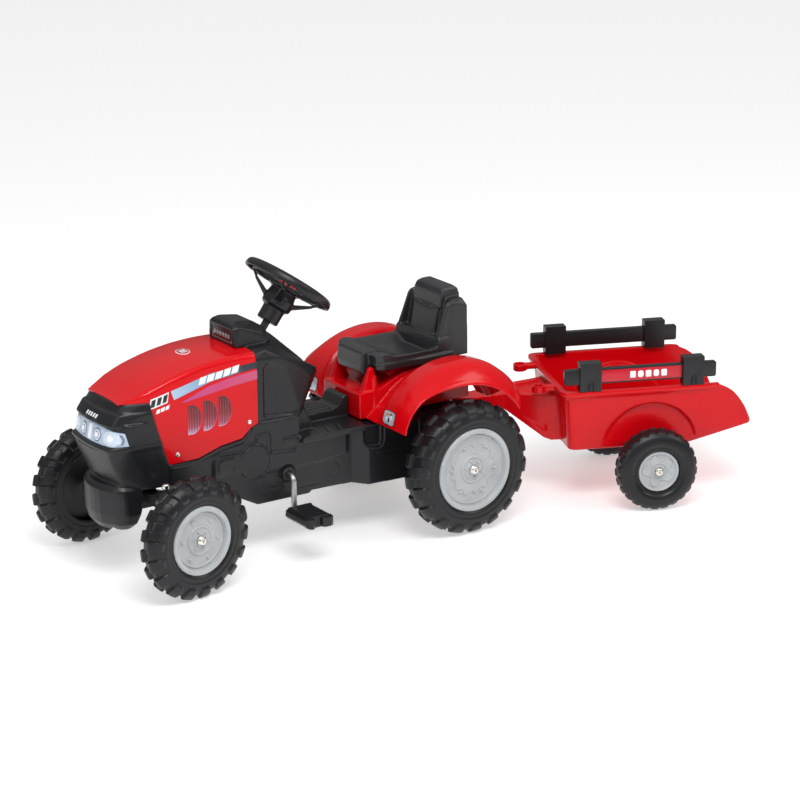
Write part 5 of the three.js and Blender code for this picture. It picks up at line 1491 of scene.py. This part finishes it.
adds, cuts = trailer_parts()
tub = fused("trailer_tub", adds, cuts, voxel=1.9, softness=4)
finish(tub, TRAILER, "trailer", RED, ["trailer_bed"], sharp=80)
piece("trailer_axle_rod", [moved(closed_lathe([(0.3, -182), (4.4, -182), (5, -181), (5, 181), (4.4, 182),
    (0.3, 182)], 36), Matrix.Translation((0, 0, TRAIL["radius"])))],
      TRAILER, "trailer", CRANK, ["trailer_axle"], sharp=50)

RAIL_Y, POST_HALF = 126.0, 20.5
for name, side in SIDES:
    rail = bevelled("rail_" + name, [prism([(-124, 245.5), (-121.5, 243), (169.5, 243), (172, 245.5),
                                            (172, 270.5),
                                            (169.5, 273), (-121.5, 273), (-124, 270.5)], side * RAIL_Y - 6,
                                           side * RAIL_Y + 6)], 1.6, 3)
    finish(rail, TRAILER, "trailer", BLACK, ["rack_rail_" + name])
    for place, x in (("front", 123), ("rear", -78)):
        inner, outer = sorted((side * (RAIL_Y - 10), side * (RAIL_Y + 12)))
        block = box((x - POST_HALF, inner, 230.4), (x + POST_HALF, outer, 286))
        cutters = [box((x - 30, side * RAIL_Y - 6.4, 242.2), (x + 30, side * RAIL_Y + 6.4, 273.8))]
        clip_low, clip_high = sorted((side * (RAIL_Y + 9.4), side * (RAIL_Y + 15)))
        cutters.append(prism([(x - 5, 228), (x + 5, 228), (x + 5, 246), (x + 3.2, 250.5), (x, 252),
                              (x - 3.2, 250.5), (x - 5, 246)], clip_low, clip_high))
        post = bevelled("post_" + place + "_" + name, [carved([block], cutters)], 2.0, 3)
        finish(post, TRAILER, "trailer", BLACK, ["rack_post_" + place + "_" + name])
        tab_low, tab_high = sorted((side * (RAIL_Y + 8.5), side * (RAIL_Y + 11.4)))
        tab = bevelled("post_clip_" + place + "_" + name,
                       [hull([(x - 3.2, tab_low, 231), (x + 3.2, tab_low, 231), (x - 3.2, tab_high, 231),
                              (x + 3.2, tab_high, 231), (x - 2.6, tab_low, 247), (x + 2.6, tab_low, 247),
                                                                 (x - 2.6, tab_high - 0.6, 245),
                              (x + 2.6, tab_high - 0.6, 245)])], 0.7, 2)
        finish(tab, TRAILER, "trailer", BLACK)


def rail_plate(name, x0, x1, z0, z1, lift, material, radius=1.0):
    outline = rounded([(x0, z0), (x1, z0), (x1, z1), (x0, z1)], radius)
    obj = bevelled(name, [prism(outline, RAIL_Y + 5.6, RAIL_Y + 6 + lift)], 0.15, 2)
    return finish(obj, TRAILER, "trailer", material)


LABEL_RED = moulded("label_red", (0.56, 0.006, 0.022), (0.47, 0.004, 0.018), 0.24, 0.04, 600, 0.01, 30)
rail_plate("rail_label", -56, 101.5, 246.5, 269.5, 0.35, LABEL_RED)
for k in range(5):
    rail_plate("rail_label_mark_" + str(k), 34.5 - 15.2 * k, 45.5 - 15.2 * k, 251.5, 264.5, 0.65, WHITE,
               4.5 if k % 2 else 2.0)


# ---------- floor, light and camera ----------
def stage_plane():
    mesh = bpy.data.meshes.new("floor")
    mesh.from_pydata([(-30, -30, -0.0005), (30, -30, -0.0005), (30, 30, -0.0005), (-30, 30, -0.0005)], [],
                     [[0, 1, 2, 3]])
    floor = bpy.data.objects.new("floor", mesh)
    bpy.context.scene.collection.objects.link(floor)
    material, *_, shader = new_material("pale_floor")
    shader.inputs["Base Color"].default_value = (0.83, 0.83, 0.835, 1)
    shader.inputs["Roughness"].default_value = 0.30
    shader.inputs["Specular IOR Level"].default_value = 0.25
    shader.inputs["Emission Color"].default_value = (1, 1, 1, 1)
    shader.inputs["Emission Strength"].default_value = 0.44
    mesh.materials.append(material)


def area_light(name, place, target, size, power):
    data = bpy.data.lights.new(name, "AREA")
    data.shape, data.size, data.size_y, data.energy = "RECTANGLE", size[0], size[1], power
    light = bpy.data.objects.new(name, data)
    light.location = place
    light.rotation_mode = "QUATERNION"
    light.rotation_quaternion = (Vector(target) - Vector(place)).to_track_quat("-Z", "Y")
    bpy.context.scene.collection.objects.link(light)


bpy.context.scene.view_settings.view_transform = "Standard"
stage_plane()
world = bpy.data.worlds.new("studio")
world.use_nodes = True
sky, wires = world.node_tree.nodes, world.node_tree.links
toward = sky.new("ShaderNodeTexCoord")
height = sky.new("ShaderNodeSeparateXYZ")
wires.new(toward.outputs["Generated"], height.inputs["Vector"])
sky_ramp = sky.new("ShaderNodeValToRGB")
sky_ramp.color_ramp.elements[0].position, sky_ramp.color_ramp.elements[0].color = 0.05, (0.12, 0.12, 0.12, 1)
sky_ramp.color_ramp.elements[1].position, sky_ramp.color_ramp.elements[1].color = 0.85, (1.0, 1.0, 1.0, 1)
wires.new(height.outputs["Z"], sky_ramp.inputs["Fac"])
wires.new(sky_ramp.outputs["Color"], sky["Background"].inputs["Color"])
sky["Background"].inputs["Strength"].default_value = 0.75
bpy.context.scene.world = world
area_light("key", (0.9, 1.9, 3.0), (0.1, 0, 0.2), (1.8, 1.2), 66)
area_light("front_fill", (3.4, 0.9, 1.5), (0.3, 0, 0.25), (1.2, 1.4), 16)
area_light("rear_fill", (-2.4, 2.4, 2.4), (-0.2, 0, 0.2), (1.6, 1.2), 26)

CAMERA_AZIMUTH, CAMERA_ELEVATION, CAMERA_ROLL = map(math.radians, (146.184, 17.628, -0.275))
CAMERA_DISTANCE = 5.200
TARGET = AXLE - Vector((0, 0, REAR["radius"] * MM)) + Vector((0.0275, 0.0, 0.2120))
back = Vector((math.sin(CAMERA_AZIMUTH) * math.cos(CAMERA_ELEVATION),
               -math.cos(CAMERA_AZIMUTH) * math.cos(CAMERA_ELEVATION), math.sin(CAMERA_ELEVATION)))
lens = bpy.data.cameras.new("view")
lens.sensor_width, lens.lens = 36.0, 124.55
lens.clip_start, lens.clip_end = 0.05, 100.0
camera = bpy.data.objects.new("view", lens)
camera.location = TARGET + back * CAMERA_DISTANCE
camera.rotation_mode = "QUATERNION"
camera.rotation_quaternion = (-back).to_track_quat("-Z", "Y") @ Matrix.Rotation(CAMERA_ROLL, 3,
    "Z").to_quaternion()
bpy.context.scene.collection.objects.link(camera)
bpy.context.scene.camera = camera
